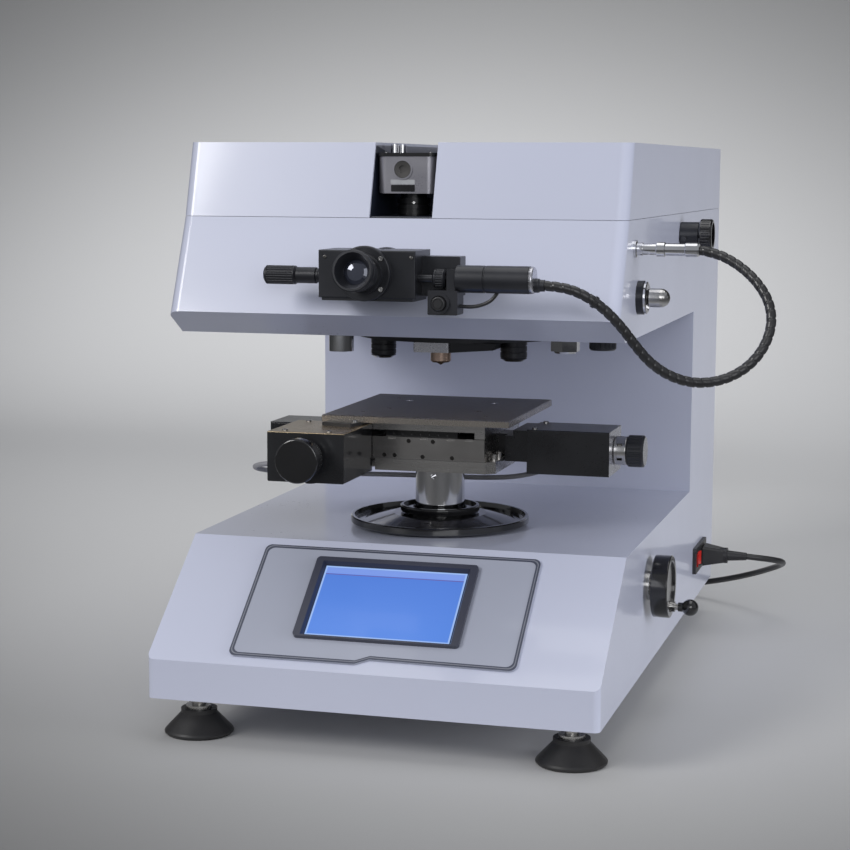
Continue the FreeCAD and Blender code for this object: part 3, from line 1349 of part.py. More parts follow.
filar_x0 = -2.0 - filar_width / 2
filar_x1 = -2.0 + filar_width / 2
filar_back_y = filar_front_y + filar_depth
drum_y = filar_front_y + filar_depth / 2
encoder_y = filar_front_y + 9.0
encoder_front_y = filar_front_y + 16.4


def filar_box():
    """The filar eyepiece's case, open at the back."""
    outer = block(filar_x0, filar_x1, filar_front_y, filar_back_y - 2.0, filar_bottom_z, filar_top_z)
    outer = rounded(outer, 0.8, lambda edge: edge.CenterOfMass.y < filar_front_y + 0.1)
    lip = block(filar_x0 + 2, filar_x1 - 2, filar_front_y + 1.5, filar_back_y - 2,
                filar_bottom_z - 2.0, filar_bottom_z)
    inner = block(filar_x0 + filar_wall, filar_x1 - filar_wall, filar_front_y + filar_wall, filar_back_y,
                  filar_bottom_z + filar_wall, filar_top_z - filar_wall)
    holes = [rod(9.0, (eyepiece_x, filar_front_y - 1, eyepiece_z), AY, 6),
             rod(2.5 + running_fit, (filar_x0 - 1, drum_y, drum_axis_z), AX, 6),
             rod(2.5 + running_fit, (filar_x1 - 5, encoder_y, drum_axis_z), AX, 8)]
    return cut(fuse([outer, lip]), [inner] + holes)


def filar_back():
    """The back plate of the filar case with the tube that enters the head."""
    plate = block(filar_x0, filar_x1, filar_back_y - 2.0, filar_back_y, filar_bottom_z, filar_top_z)
    tube = rod(filar_tube_radius, (0, filar_back_y - 1, eyepiece_z - 1), AY,
               optics_front_y - filar_back_y + 1)
    collar = rod(filar_tube_radius + 4.0, (0, filar_back_y, eyepiece_z - 1), AY, 6.0)
    return fuse([plate, tube, collar]).cut(rod(9.0, (0, filar_back_y - 5, eyepiece_z - 1), AY, 70))


def hair_frame(x0, y0, y1):
    """One sliding frame of the measuring lines, threaded for its screw."""
    return block(x0, x0 + 24, y0, y1, filar_bottom_z + filar_wall + 0.4, filar_top_z - filar_wall - 0.4)


def left_hair_frame():
    """The sliding line frame moved by the left drum."""
    body = hair_frame(filar_x0 + 8.0, drum_y - 4.5, drum_y + 4.5)
    window = rod(7.0, (filar_x0 + 24.0, drum_y - 10, eyepiece_z + 1), AY, 20)
    bore = rod(2.5 + running_fit, (filar_x0, drum_y, drum_axis_z), AX, 34)
    return cut(body, [window, bore])


def right_hair_frame():
    """The sliding line frame moved by the thumbwheel."""
    body = hair_frame(filar_x1 - 32.0, encoder_y - 4.5, encoder_y + 4.0)
    window = rod(7.0, (filar_x1 - 33.0, encoder_y - 10, eyepiece_z + 1), AY, 20)
    bore = rod(2.5 + running_fit, (filar_x1 - 34, encoder_y, drum_axis_z), AX, 36)
    return cut(body, [window, bore])


def eyepiece_flange():
    """The round flange of the eyepiece with its screw bosses and tilted seat."""
    plate = rod(19.0, (eyepiece_x, filar_front_y - 4.0, eyepiece_z), AY, 4.0)
    plate = rounded(plate, 1.0, lambda edge: edge.CenterOfMass.y < filar_front_y - 3.9)
    seat = rod(14.0, (eyepiece_x, filar_front_y - 11.0, eyepiece_z), AY, 8.0)
    tilt_cut = block(-40, 40, filar_front_y - 40, filar_front_y - 8.5, eyepiece_z - 40, eyepiece_z + 40)
    tilt_cut.rotate(V(eyepiece_x, filar_front_y - 8.5, eyepiece_z), AX, -eyepiece_tilt)
    sinks = [rod(1.9, (eyepiece_x + 16.2 * math.cos(math.radians(a)), filar_front_y - 4.1,
                       eyepiece_z + 16.2 * math.sin(math.radians(a))), AY, 1.2) for a in (40, 160, 220, 320)]
    bore = rod(7.0, (eyepiece_x, filar_front_y - 20, eyepiece_z), AY, 40)
    return cut(fuse([plate, seat]), [tilt_cut, bore] + sinks)


def tilted(shape):
    """Turn a piece built on -Y at the eyepiece's seat to the eyepiece's upward tilt."""
    shape.rotate(V(0, 0, 0), AX, -eyepiece_tilt)
    shape.translate(V(eyepiece_x, filar_front_y - 8.5, eyepiece_z))
    return shape


def eyepiece():
    """The turning eyepiece: waist, flared eye cup and recess for the lens."""
    long = eyepiece_length - 8.5
    profile = [(12.0, 0.15), (12.0, 4.0), (12.8, 5.0), (12.8, 9.0), (12.0, 10.0), (13.6, long - 6),
               (eyepiece_radius, long - 2.5), (eyepiece_radius, long - 0.6), (eyepiece_radius - 0.8, long),
               (eyepiece_radius - 2.0, long), (eyepiece_radius - 3.4, long - 3.0), (8.5, long - 8.0),
               (8.5, long - 11.0), (6.5, long - 11.0), (6.5, 0.15)]
    body = turned(profile, (0, 0, 0), AZ)
    body.rotate(V(0, 0, 0), AX, 90)
    return tilted(body)


def eyepiece_lens():
    """The eye lens: a shallow domed glass."""
    long = eyepiece_length - 8.5
    profile = [(0, long - 11.2), (8.5, long - 11.2), (8.5, long - 9.2), (6.0, long - 8.4),
               (3.0, long - 7.95), (0, long - 7.8)]
    body = turned(profile, (0, 0, 0), AZ)
    body.rotate(V(0, 0, 0), AX, 90)
    return tilted(body)


def drum_sleeve():
    """The fixed sleeve of the left drum."""
    profile = [(2.5 + running_fit, 0), (sleeve_radius, 0), (sleeve_radius, 14.0), (sleeve_radius - 0.8, 14.6),
               (sleeve_radius - 0.8, 16.0), (sleeve_radius + 0.6, 17.0), (sleeve_radius + 0.6, 21.6),
               (2.5 + running_fit, 21.6)]
    return turned(profile, (filar_x0 - 21.6, drum_y, drum_axis_z), AX)


def left_drum():
    """The knurled left drum with its screw into the case."""
    start = filar_x0 - 21.6 - 0.3 - 23.5
    grip = knob_grip(drum_radius, 23.5, (start, drum_y, drum_axis_z), AX, 24)
    screw = rod(2.5, (start + 12, drum_y, drum_axis_z), AX, filar_x0 + 31 - start - 12)
    return fuse([grip, screw])


def encoder_block():
    """The block on the case's right side, behind the thumbwheel."""
    body = block(filar_x1, block_right_x - 3, encoder_front_y, filar_back_y - 6,
                 filar_bottom_z + 1.5, filar_top_z - 4)
    return rounded(body, 0.8, lambda edge: edge.CenterOfMass.x > block_right_x - 3.1)


def thumbwheel():
    """The knurled thumbwheel on the right screw, with the encoder's inner shaft."""
    wheel = knob_grip(6.6, 9.0, (43.5, encoder_y, drum_axis_z), AX, 22)
    screw = rod(2.5, (filar_x1 - 33, encoder_y, drum_axis_z), AX, 88 - filar_x1 + 33)
    disc = rod(6.5, (84, encoder_y, drum_axis_z), AX, 4.0)
    return fuse([wheel, screw, disc])


def encoder():
    """The encoder's two-part barrel with its light end cap seat."""
    start = block_right_x - 3.0
    profile = [(2.5 + 0.4, 0), (encoder_radius - 0.5, 0), (encoder_radius, 0.5), (encoder_radius, 19.4),
               (encoder_radius - 0.5, 19.8), (encoder_radius - 0.5, 20.5), (encoder_radius, 20.9),
               (encoder_radius, encoder_end_x - start - 3.2), (encoder_radius - 0.6, encoder_end_x - start - 3.0),
               (0, encoder_end_x - start - 3.0), (0, encoder_end_x - start - 5.5),
               (encoder_radius - 1.6, encoder_end_x - start - 5.5), (encoder_radius - 1.6, 2.0), (2.9, 2.0)]
    return turned(profile, (start, encoder_y, drum_axis_z), AX)


def encoder_cap():
    """The light end cap of the encoder with the cable gland."""
    cap = rod(encoder_radius - 0.2, (encoder_end_x - 3.0, encoder_y, drum_axis_z), AX, 3.0)
    cap = rounded(cap, 1.2, lambda edge: edge.CenterOfMass.x > encoder_end_x - 0.1)
    return cap


def loom_gland():
    """The gland where the loom leaves the encoder."""
    profile = [(0, 0), (4.8, 0), (4.8, 3.0), (4.0, 4.0), (4.0, 7.0), (0, 7.0)]
    return turned(profile, (encoder_end_x, encoder_y, drum_axis_z - 3.5), AX)


button_x = filar_x1 + 17.05
button_z = filar_bottom_z - 2.5


def button_block():
    """The push button's housing with the arm that steadies the encoder."""
    body = block(button_x - 8.3, button_x + 12.7, filar_front_y, encoder_front_y,
                 button_z - 7.9, button_z + 8.9)
    body = rounded(body, 1.0, lambda edge: along(edge, AY))
    arm = block(button_x + 4.2, block_right_x - 3, filar_front_y + 3, encoder_front_y,
                button_z + 8.0, drum_axis_z + 6.5)
    ring = pipe(7.2, 5.6, (button_x, filar_front_y - 1.6, button_z), AY, 2.0)
    well = rod(5.0, (button_x, filar_front_y - 7, button_z), AY, 12.0)
    shaft_way = rod(2.5 + running_fit, (40, encoder_y, drum_axis_z), AX, 30)
    wheel_way = rod(7.4, (42.0, encoder_y, drum_axis_z), AX, 12.0)
    encoder_way = rod(encoder_radius + 0.2, (block_right_x - 3, encoder_y, drum_axis_z), AX, 5.0)
    return cut(fuse([body, arm, ring]), [well, shaft_way, wheel_way]).cut(encoder_way)


def record_button():
    """The round push button of the filar head."""
    front = filar_front_y - 4.2
    cap = rod(4.8, (button_x, front, button_z), AY, 7.2)
    cap = rounded(cap, 0.9, lambda edge: edge.CenterOfMass.y < front + 0.1)
    return cap.cut(pipe(3.6, 3.0, (button_x, front - 0.1, button_z), AY, 0.7))


# Fittings under and beside the head

def work_lights():
    """Two plated lamp barrels under the head, one round and one hexagonal."""
    top = head_bottom_z
    low = top - lamp_length
    round_one = turned([(0, low), (lamp_radius - 3.0, low), (lamp_radius - 3.0, low - 1.2), (lamp_radius, low - 1.2),
                        (lamp_radius, top - 5.0), (lamp_radius + 1.2, top - 4.0), (lamp_radius + 1.2, top), (0, top)],
                       (round_lamp_x, fitting_y, 0), AZ)
    hex_one = fuse([hexagon(hex_lamp_flats, hex_lamp_x, fitting_y, top - 13.0, 13.0),
                    turned([(0, top - 13.2), (5.0, top - 13.2), (5.0, top - 14.4), (8.0, top - 14.4),
                            (9.2, top - 12.8), (0, top - 12.8)], (hex_lamp_x, fitting_y, 0), AZ)])
    return group([round_one, hex_one])


def transit_knob():
    """The black locking knob under the head."""
    return knob_grip(10.0, lock_knob_length, (lock_knob_x, fitting_y, head_bottom_z - lock_knob_length), AZ, 20)


def loom_socket():
    """The metal socket on the head's side for the encoder's plug."""
    return turned([(0, -6), (4.4, -6), (4.4, 0), (6.2, 0), (6.2, 1.6), (4.6, 2.2), (4.6, 6.0), (0, 6.0)],
                  (half, connector_y, connector_z), AX)


def loom_plug():
    """The plated plug on the loom's end, with its coupling nut."""
    long = connector_end_x - half - 6.0
    profile = [(0, 0), (4.0, 0), (4.0, 9.5), (5.2, 10.2), (5.2, 15.6), (4.3, 16.2), (4.3, 30.0), (5.0, 30.6),
               (5.0, long - 1.2), (4.4, long), (0, long)]
    return turned(profile, (half + 6.0, connector_y, connector_z), AX)


def pull_ring():
    """The black ring with a bright rim round the pull knob."""
    return turned([(3.0 + running_fit, 0), (12.2, 0), (12.2, 4.6), (11.6, 5.2), (11.6, 6.6), (10.6, 7.2), (9.4, 7.2),
                   (8.6, 5.0), (3.0 + running_fit, 5.0)], (half, pull_y, pull_z), AX)


def pull_knob():
    """The bright round-nosed knob of the path slide."""
    profile = [(0, 0), (5.2, 0), (5.2, 2.0), (6.8, 3.2), (6.8, 11.0)]
    for i in range(1, 7):
        angle = math.pi / 2 * i / 6
        profile.append((6.8 * math.cos(angle), 11.0 + 6.8 * math.sin(angle)))
    profile[-1] = (0, profile[-1][1])
    return turned(profile, (half + 5.4, pull_y, pull_z), AX).cut(
        rod(3.0, (half, pull_y, pull_z), AX, 8.0))


def casing_screws():
    """The pan-head screws of the back panel."""
    screws = []
    low, high = base_bottom_z + 10, seam_z - 9
    rows = (low, base_top_z - 10, (low + high) / 2 + 3, head_bottom_z - 8, high)
    places = [(x, z) for x in (-half + 10, half - 10) for z in rows] + [(0, low), (0, high)]
    for x, z in places:
        head = rod(3.6, (x, rear_y, z), AY, 2.0)
        screws.append(head.cut(block(x - 2.6, x + 2.6, rear_y + 1.2, rear_y + 3, z - 0.5, z + 0.5)))
    return group(screws)


# Cords

def cord_tube(name, points, diameter):
    """A cord as straight runs joined by tangent arcs, each as large as its two runs allow."""
    points = [V(*p) for p in points]
    edges = []
    length = 0.0
    start = points[0]
    radii = []
    for i in range(1, len(points) - 1):
        before = points[i] - points[i - 1]
        after = points[i + 1] - points[i]
        turn = before.getAngle(after)
        set_back = 0.45 * min(before.Length, after.Length)
        radius = set_back / math.tan(turn / 2.0)
        a = points[i] - before.normalize() * set_back
        b = points[i] + after.normalize() * set_back
        centre_way = (a + b) * 0.5 - points[i]
        to_centre = math.hypot(radius, set_back)
        middle = points[i] + centre_way.normalize() * (to_centre - radius)
        edges.append(Part.LineSegment(start, a).toShape())
        edges.append(Part.Arc(a, middle, b).toShape())
        length += (a - start).Length + radius * turn
        start = b
        radii.append(radius)
    edges.append(Part.LineSegment(start, points[-1]).toShape())
    length += (points[-1] - start).Length
    path = Part.Wire(edges)
    first = (points[1] - points[0]).normalize()
    circle = Part.Wire([Part.makeCircle(diameter / 2.0, points[0], first)])
    tube = path.makePipeShell([circle], True, False)
    section = math.pi * diameter * diameter / 4.0
    print(name, "length %.1f" % length, "volume ratio %.4f" % (abs(tube.Volume) / (section * length)),
          "least radius %.1f" % min(radii), "in diameters %.1f" % (min(radii) / diameter))
    print("  radii", " ".join("%.0f" % r for r in radii))
    return tube


loom_route = [(encoder_end_x + 7.0, encoder_y, drum_axis_z - 3.5), (131.5, -178.8, 334.9), (142.5, -177.2, 331.9),
              (153.0, -173.9, 326.0), (163.0, -169.2, 317.4), (172.0, -163.5, 306.5), (180.0, -158.5, 294.5),
              (189.0, -152.5, 283.0), (200.0, -146.5, 274.5), (213.0, -140.5, 269.3), (226.0, -135.0, 268.6),
              (239.0, -129.5, 271.6), (251.0, -124.5, 278.6), (260.0, -119.5, 289.0), (265.0, -114.5, 301.0),
              (266.0, -110.0, 313.0), (262.5, -105.0, 324.5), (255.5, -100.0, 334.5), (246.5, -95.5, 343.0),
              (236.0, -92.0, 350.0), (224.5, -89.6, 355.2), (connector_end_x, connector_y, connector_z)]
button_route = [(62.5, -180.0, 320.5), (69.0, -180.0, 320.0), (76.0, -179.8, 321.0), (82.5, -179.3, 323.6),
                (86.4, -179.0, 327.2), (88.0, encoder_y, drum_axis_z - encoder_radius + 0.3)]
stage_route = [(limit_box_left, 0.0, 178.5), (-142.5, 0.3, 178.0), (-153.0, 3.5, 176.2), (-160.0, 12.0, 173.0),
               (-159.8, 23.0, 169.6), (-151.5, 31.5, 167.2), (-138.0, 36.5, 166.1), (-119.0, 39.5, 166.0),
               (-97.0, 42.5, 166.0), (-70.0, 46.5, 166.0), (-40.0, 51.0, 166.0), (-10.0, 52.8, 166.0),
               (20.0, 52.5, 166.2), (46.0, 51.5, 168.0), (64.0, 50.2, 172.0), (78.0, 48.0, 177.5),
               (88.5, 43.5, 182.0), (94.5, 36.0, 185.8), (stage_gland_x, x_box_depth / 2 + 4.0, stage_gland_z)]
mains_route = [(half + plug_start + plug_body_length + relief_length, plug_y, plug_z), (218.8, 287.8, 67.7),
               (228.4, 292.9, 66.0), (235.2, 301.3, 63.5), (238.2, 311.6, 60.4), (237.1, 322.3, 56.9),
               (232.3, 334.1, 52.5), (222.5, 349.0, 46.2), (209.5, 366.0, 38.8), (192.5, 384.0, 30.6),
               (173.0, 401.0, 22.8), (151.5, 417.0, 15.6), (128.8, 430.6, 9.9), (105.2, 439.9, 5.9),
               (84.0, 444.8, 3.7), (65.0, 446.6, 3.1), (49.0, 446.2, 2.9)]


def loom():
    """The spiral-wrapped loom from the encoder to the head."""
    return cord_tube("loom", loom_route, loom_diameter)


def button_lead():
    """The thin lead from the push button to the encoder."""
    return cord_tube("button_lead", button_route, button_lead_diameter)


def stage_lead():
    """The lead from the limit switches, round behind the spindle to the X drive."""
    return cord_tube("stage_lead", stage_route, stage_lead_diameter)


def mains_lead():
    """The mains lead from its plug, round behind the base and down to the bench."""
    return cord_tube("mains_lead", mains_route, mains_diameter)


coil_z = mains_diameter * 1.366


def mains_coil():
    """The rest of the mains lead in one neat round coil of seven turns."""
    near = 0.98 * mains_diameter
    centres = [(0.0, 0.0)] + [polar(near, 60 * i) for i in range(6)]
    outline = []
    for step in range(48):
        angle = 2 * math.pi * step / 48
        reach = 0.0
        for cx, cy in centres:
            ahead = cx * math.cos(angle) + cy * math.sin(angle)
            aside = cx * math.sin(angle) - cy * math.cos(angle)
            if abs(aside) < mains_diameter / 2:
                reach = max(reach, ahead + math.sqrt(mains_diameter ** 2 / 4 - aside ** 2))
        outline.append((coil_radius + reach * math.cos(angle), reach * math.sin(angle)))
    return turned(outline, (coil_x, coil_y, coil_z), AZ)


def inlet_plug():
    """The tapering appliance plug in the inlet, with its strain relief."""
    start = half + plug_start
    end = start + plug_body_length
    wires = []
    for x, wide, tall in ((start, 11.5, 8.8), (end, 7.0, 6.0)):
        corners = [V(x, plug_y + a * wide, plug_z + b * tall) for a, b in ((-1, -1), (1, -1), (1, 1), (-1, 1))]
        wires.append(Part.makePolygon(corners + corners[:1]))
    body = Part.makeLoft(wires, True, True)
    body = rounded(body, 2.0, lambda edge: abs(edge.tangentAt(edge.FirstParameter).x) > 0.8)
    nose = block(half - 12, start + 1, plug_y - 11, plug_y + 11, plug_z - 6.5, plug_z + 6.5)
    sockets = [block(half - 13, half - 2, y - 2.2, y + 2.2, plug_z - 1.2, plug_z + 1.2)
               for y in (plug_y - 7, plug_y, plug_y + 7)]
    collar = rod(7.0, (end - 4.0, plug_y, plug_z), AX, 7.0)
    relief = Part.makeCone(5.0, mains_diameter / 2 + 0.6, relief_length, V(end, plug_y, plug_z), AX)
    return cut(fuse([body, nose, collar, relief]), sockets)


def wall_plug():
    """The two-pin wall plug lying beside the coil."""
    x = coil_x - coil_radius
    y = coil_y - 8.0
    relief = Part.makeCone(mains_diameter / 2 + 0.6, 5.0, 26.0, V(x, y, coil_z), V(0, -1, 0))
    relief.rotate(V(x, y, coil_z), AZ, -50)
    body = block(x - 46, x - 18, y - 32, y - 4, 0.6, 2 * coil_z - 0.6)
    body = rounded(body, 4.0, lambda edge: along(edge, AZ))
    pins = [rod(2.3, (x - 64, y - 18 + s * 9.5, coil_z), AX, 19) for s in (-1, 1)]
    return fuse([body, relief] + pins)


# Sub-parts made of several fixed features

def bearings():
    """The spindle's guide bush, the thrust bearing, the nut's bush and the shaft's bushes."""
    return group([guide_bush(), thrust_bearing(), nut_bush()] + shaft_bushes().Solids)


def feet():
    """The four rubber feet."""
    return group([rubber_foot(x, y) for x, y in feet_places()])


def foot_studs():
    """The four levelling studs with their lock nuts."""
    return group([foot_stud(x, y) for x, y in feet_places()])


def head_fittings():
    """Fixed fittings of the head: selector collar, loom socket, pull ring, lamps and locking knob."""
    return group([selector_collar(), loom_socket(), pull_ring()] + work_lights().Solids + [transit_knob()])


def build_list():
    """Every sub-part's name and shape."""
    yield "base_casing", base_casing()
    yield "bottom_plate", bottom_plate()
    yield "column_casing", column_casing()
    yield "rear_panel", fuse([rear_panel()] + casing_screws().Solids)
    yield "head_casing", head_casing()
    yield "head_cover", head_cover()
    yield "slot_liner", slot_liner()
    yield "main_frame", fuse([main_frame(), lever_pin(), turret_motor()] + frame_pads().Solids)
    yield "feet", feet()
    yield "foot_studs", foot_studs()
    yield "front_panel", fuse([front_panel(), screen_bezel()])
    yield "touch_screen", touch_screen()
    yield "electronics", group([control_board(), power_supply()])
    yield "mains_inlet", mains_inlet()
    yield "power_rocker", power_rocker()
    yield "elevating_nut", elevating_nut()
    yield "spindle_wheel", spindle_wheel()
    yield "spindle", spindle()
    yield "bearings", bearings()
    yield "handwheel_shaft", handwheel_shaft()
    yield "handwheel", handwheel()
    yield "crank_knob", crank_knob()
    yield "stage_base", fuse([stage_base()] + y_rails().Solids + stage_bolts().Solids)
    yield "y_carriage", fuse([y_carriage(), front_cover()] + x_rails().Solids)
    yield "x_carriage", x_carriage()
    yield "stage_plate", fuse([stage_plate()] + plate_screws().Solids)
    yield "y_motor_box", fuse([y_motor_box(), y_box_lid()])
    yield "x_motor_box", fuse([x_motor_box(), x_bearing(), x_end_plate()])
    yield "limit_switch_box", limit_switch_box()
    yield "stage_motors", stage_motors()
    yield "y_screw", fuse([y_screw(), y_knob()])
    yield "x_screw", fuse([x_screw(), x_knob()])
    yield "turret", fuse([turret(), turret_gear(), indenter_clamp()])
    yield "objectives", group([objective(left_station, left_objective_radius, (0.0, 0.3, 0.62)),
                               objective(right_station, right_objective_radius, (0.0, 0.35, 0.7))])
    yield "indenter", indenter()
    yield "turret_pinion", turret_pinion()
    yield "load_lever", fuse([load_lever(), push_rod()])
    yield "deadweights", deadweights()
    yield "force_selector", fuse([selector_shaft(), selector_knob()])
    yield "head_fittings", head_fittings()
    yield "optics_block", fuse([optics_block(), optical_tube()])
    yield "path_slide", fuse([path_slide(), pull_knob()])
    yield "slot_camera", fuse([camera_body(), camera_plate(), lens_tube()] + camera_connectors().Solids)
    yield "filar_box", fuse([filar_box(), filar_back(), eyepiece_flange(), drum_sleeve(), encoder_block()])
    yield "left_hair_frame", left_hair_frame()
    yield "right_hair_frame", right_hair_frame()
    yield "eyepiece", fuse([eyepiece(), eyepiece_lens()])
    yield "left_drum", left_drum()
    yield "thumbwheel", thumbwheel()
    yield "encoder", fuse([encoder(), encoder_cap(), loom_gland()])
    yield "button_block", button_block()
    yield "record_button", record_button()
    yield "loom_plug", loom_plug()
    yield "loom", loom()
    yield "button_lead", button_lead()
    yield "stage_lead", stage_lead()
    yield "mains_lead", mains_lead()
    yield "mains_coil", mains_coil()
    yield "inlet_plug", inlet_plug()
    yield "wall_plug", wall_plug()


def main():
    """Build and write every sub-part."""
    os.makedirs("parts", exist_ok=True)
    for name, shape in build_list():
        save(name, shape)


if __name__ == "__main__":
    main()
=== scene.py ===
"""Looks of the bench hardness tester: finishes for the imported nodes, small trim, cords, studio and camera."""
import json
import logging
import math
from collections.abc import Callable, Sequence
from dataclasses import dataclass
from enum import Enum, IntEnum

import bmesh
import bpy
from mathutils import Matrix, Vector

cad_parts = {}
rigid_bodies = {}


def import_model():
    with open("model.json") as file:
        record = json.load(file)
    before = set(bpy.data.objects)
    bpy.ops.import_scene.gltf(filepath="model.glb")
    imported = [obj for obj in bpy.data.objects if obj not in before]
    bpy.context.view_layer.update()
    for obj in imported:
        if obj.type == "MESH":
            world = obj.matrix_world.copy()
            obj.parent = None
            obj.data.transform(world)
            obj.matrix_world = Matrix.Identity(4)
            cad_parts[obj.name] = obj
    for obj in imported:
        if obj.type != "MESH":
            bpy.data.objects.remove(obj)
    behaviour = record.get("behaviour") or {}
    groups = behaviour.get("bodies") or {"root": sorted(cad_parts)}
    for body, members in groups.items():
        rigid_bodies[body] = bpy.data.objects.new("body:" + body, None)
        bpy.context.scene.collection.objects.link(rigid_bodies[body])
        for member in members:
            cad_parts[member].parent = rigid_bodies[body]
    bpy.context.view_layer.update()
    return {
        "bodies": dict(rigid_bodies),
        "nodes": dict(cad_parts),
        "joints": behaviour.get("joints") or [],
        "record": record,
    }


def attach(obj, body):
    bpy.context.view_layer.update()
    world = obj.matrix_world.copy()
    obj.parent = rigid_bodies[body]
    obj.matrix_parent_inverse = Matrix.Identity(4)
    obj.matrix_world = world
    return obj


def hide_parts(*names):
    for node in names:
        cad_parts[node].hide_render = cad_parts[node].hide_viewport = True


log = logging.getLogger("hardness_tester")
Colour = tuple[float, float, float]
Point = tuple[float, float, float]
Pair = tuple[float, float]
Region = Callable[[Vector, Vector], bool]
Mesh = bmesh.types.BMesh
MM = 0.001


def mm(*values: float) -> Vector:
    """Return a point given in millimetres as a vector in metres."""
    return Vector([value * MM for value in values])


# Places on the object that the trim is fitted to, in millimetres
LIP = Vector((0.0, -195.0, 62.0))
SLOPE_UP = Vector((0.0, 96.0, 75.0)).normalized()
SLOPE_OUT = Vector((0.0, -75.0, 96.0)).normalized()
PANEL_FACE = 1.6

# Directions that screws and turned parts stand along
UP: Point = (0.0, 0.0, 1.0)
FRONT: Point = (0.0, -1.0, 0.0)
RIGHT: Point = (1.0, 0.0, 0.0)


class Axis(IntEnum):
    """The axes of the shared frame."""

    X = 0
    Y = 1
    Z = 2


# Limits in millimetres along some axes; FAR stands for no limit
Spans = tuple[tuple[Axis, float, float], ...]
FAR = 1000.0


class Body(Enum):
    """Rigid bodies that the trim rides on."""

    HOUSING = "housing"
    Y_SLIDE = "y_slide"
    X_SLIDE = "x_slide"


class Signal:
    """A shader value that ordinary arithmetic can be done on."""

    def __init__(self, graph: "Graph", socket: bpy.types.NodeSocket) -> None:
        self.graph = graph
        self.socket = socket

    def _math(self, operation: str, *others: "Signal | float", clamp: bool = False) -> "Signal":
        """Return the result of one step on this value."""
        return self.graph.math(operation, self, *others, clamp=clamp)

    def __add__(self, other: "Signal | float") -> "Signal":
        return self._math("ADD", other)

    def __sub__(self, other: "Signal | float") -> "Signal":
        return self._math("SUBTRACT", other)

    def __mul__(self, other: "Signal | float") -> "Signal":
        return self._math("MULTIPLY", other)

    def __truediv__(self, other: "Signal | float") -> "Signal":
        return self._math("DIVIDE", other)

    __radd__ = __add__
    __rmul__ = __mul__

    def abs(self) -> "Signal":
        """Return the value without its sign."""
        return self._math("ABSOLUTE")

    def above(self, low: float, high: float) -> "Signal":
        """Return 0 below low and 1 above high, with a straight rise between them."""
        return self.graph.math("MULTIPLY", self - low, 1.0 / (high - low), clamp=True)

    def most(self, other: "Signal | float") -> "Signal":
        """Return the larger of two values."""
        return self._math("MAXIMUM", other)


class Graph:
    """The node tree of one material."""

    def __init__(self, name: str) -> None:
        self.material = bpy.data.materials.new(name)
        self.material.use_nodes = True
        self.tree = self.material.node_tree
        self.tree.nodes.clear()

    def node(self, kind: str, inputs: dict[str | int, object] | None = None,
             **settings: object) -> bpy.types.Node:
        """Add one node.

        Args:
            kind: The node's type name.
            inputs: Socket values by name or number; a Signal is linked.
            **settings: Attributes to set on the node.

        Returns:
            The new node.
        """
        made = self.tree.nodes.new(kind)
        for name, value in settings.items():
            setattr(made, name, value)
        for name, value in (inputs or {}).items():
            if isinstance(value, Signal):
                self.tree.links.new(value.socket, made.inputs[name])
            else:
                made.inputs[name].default_value = value
        return made

    def math(self, operation: str, *values: "Signal | float", clamp: bool = False) -> Signal:
        """Return the result of one arithmetic step."""
        made = self.node("ShaderNodeMath", dict(enumerate(values)), operation=operation, use_clamp=clamp)
        return Signal(self, made.outputs[0])

    def coordinates(self) -> Signal:
        """Return the place on the surface in the object's own coordinates."""
        return Signal(self, self.node("ShaderNodeTexCoord").outputs["Object"])

    def axes(self) -> tuple[Signal, Signal, Signal]:
        """Return x, y and z of the place on the surface, in metres."""
        split = self.node("ShaderNodeSeparateXYZ", {0: self.coordinates()})
        return tuple(Signal(self, socket) for socket in split.outputs)

    def noise(self, scale: float, detail: float = 3.0, stretch: Point = (1.0, 1.0, 1.0)) -> Signal:
        """Return a noise value around 0.5."""
        place = self.coordinates()
        if stretch != (1.0, 1.0, 1.0):
            mapping = self.node("ShaderNodeMapping", {"Vector": place, "Scale": stretch})
            place = Signal(self, mapping.outputs[0])
        made = self.node("ShaderNodeTexNoise", {"Vector": place, "Scale": scale, "Detail": detail})
        return Signal(self, made.outputs["Fac"])

    def mix(self, share: Signal, first: "Colour | Signal", second: "Colour | Signal") -> Signal:
        """Return a colour between two colours."""
        made = self.node("ShaderNodeMix", data_type="RGBA")
        self.tree.links.new(share.socket, made.inputs[0])
        for socket, colour in ((made.inputs[6], first), (made.inputs[7], second)):
            if isinstance(colour, Signal):
                self.tree.links.new(colour.socket, socket)
            else:
                socket.default_value = (*colour, 1.0)
        return Signal(self, made.outputs[2])

    def bump(self, height: Signal, strength: float, distance: float) -> Signal:
        """Return a normal that follows a height."""
        made = self.node("ShaderNodeBump", {"Height": height, "Strength": strength, "Distance": distance})
        return Signal(self, made.outputs[0])

    def finish(self, **inputs: object) -> bpy.types.Material:
        """Add the surface shader with these inputs and return the material."""
        named = {name.replace("_", " "): value for name, value in inputs.items()}
        for name, value in named.items():
            if isinstance(value, tuple) and len(value) == 3:
                named[name] = (*value, 1.0)
        shader = self.node("ShaderNodeBsdfPrincipled", named)
        output = self.node("ShaderNodeOutputMaterial")
        self.tree.links.new(shader.outputs[0], output.inputs[0])
        return self.material


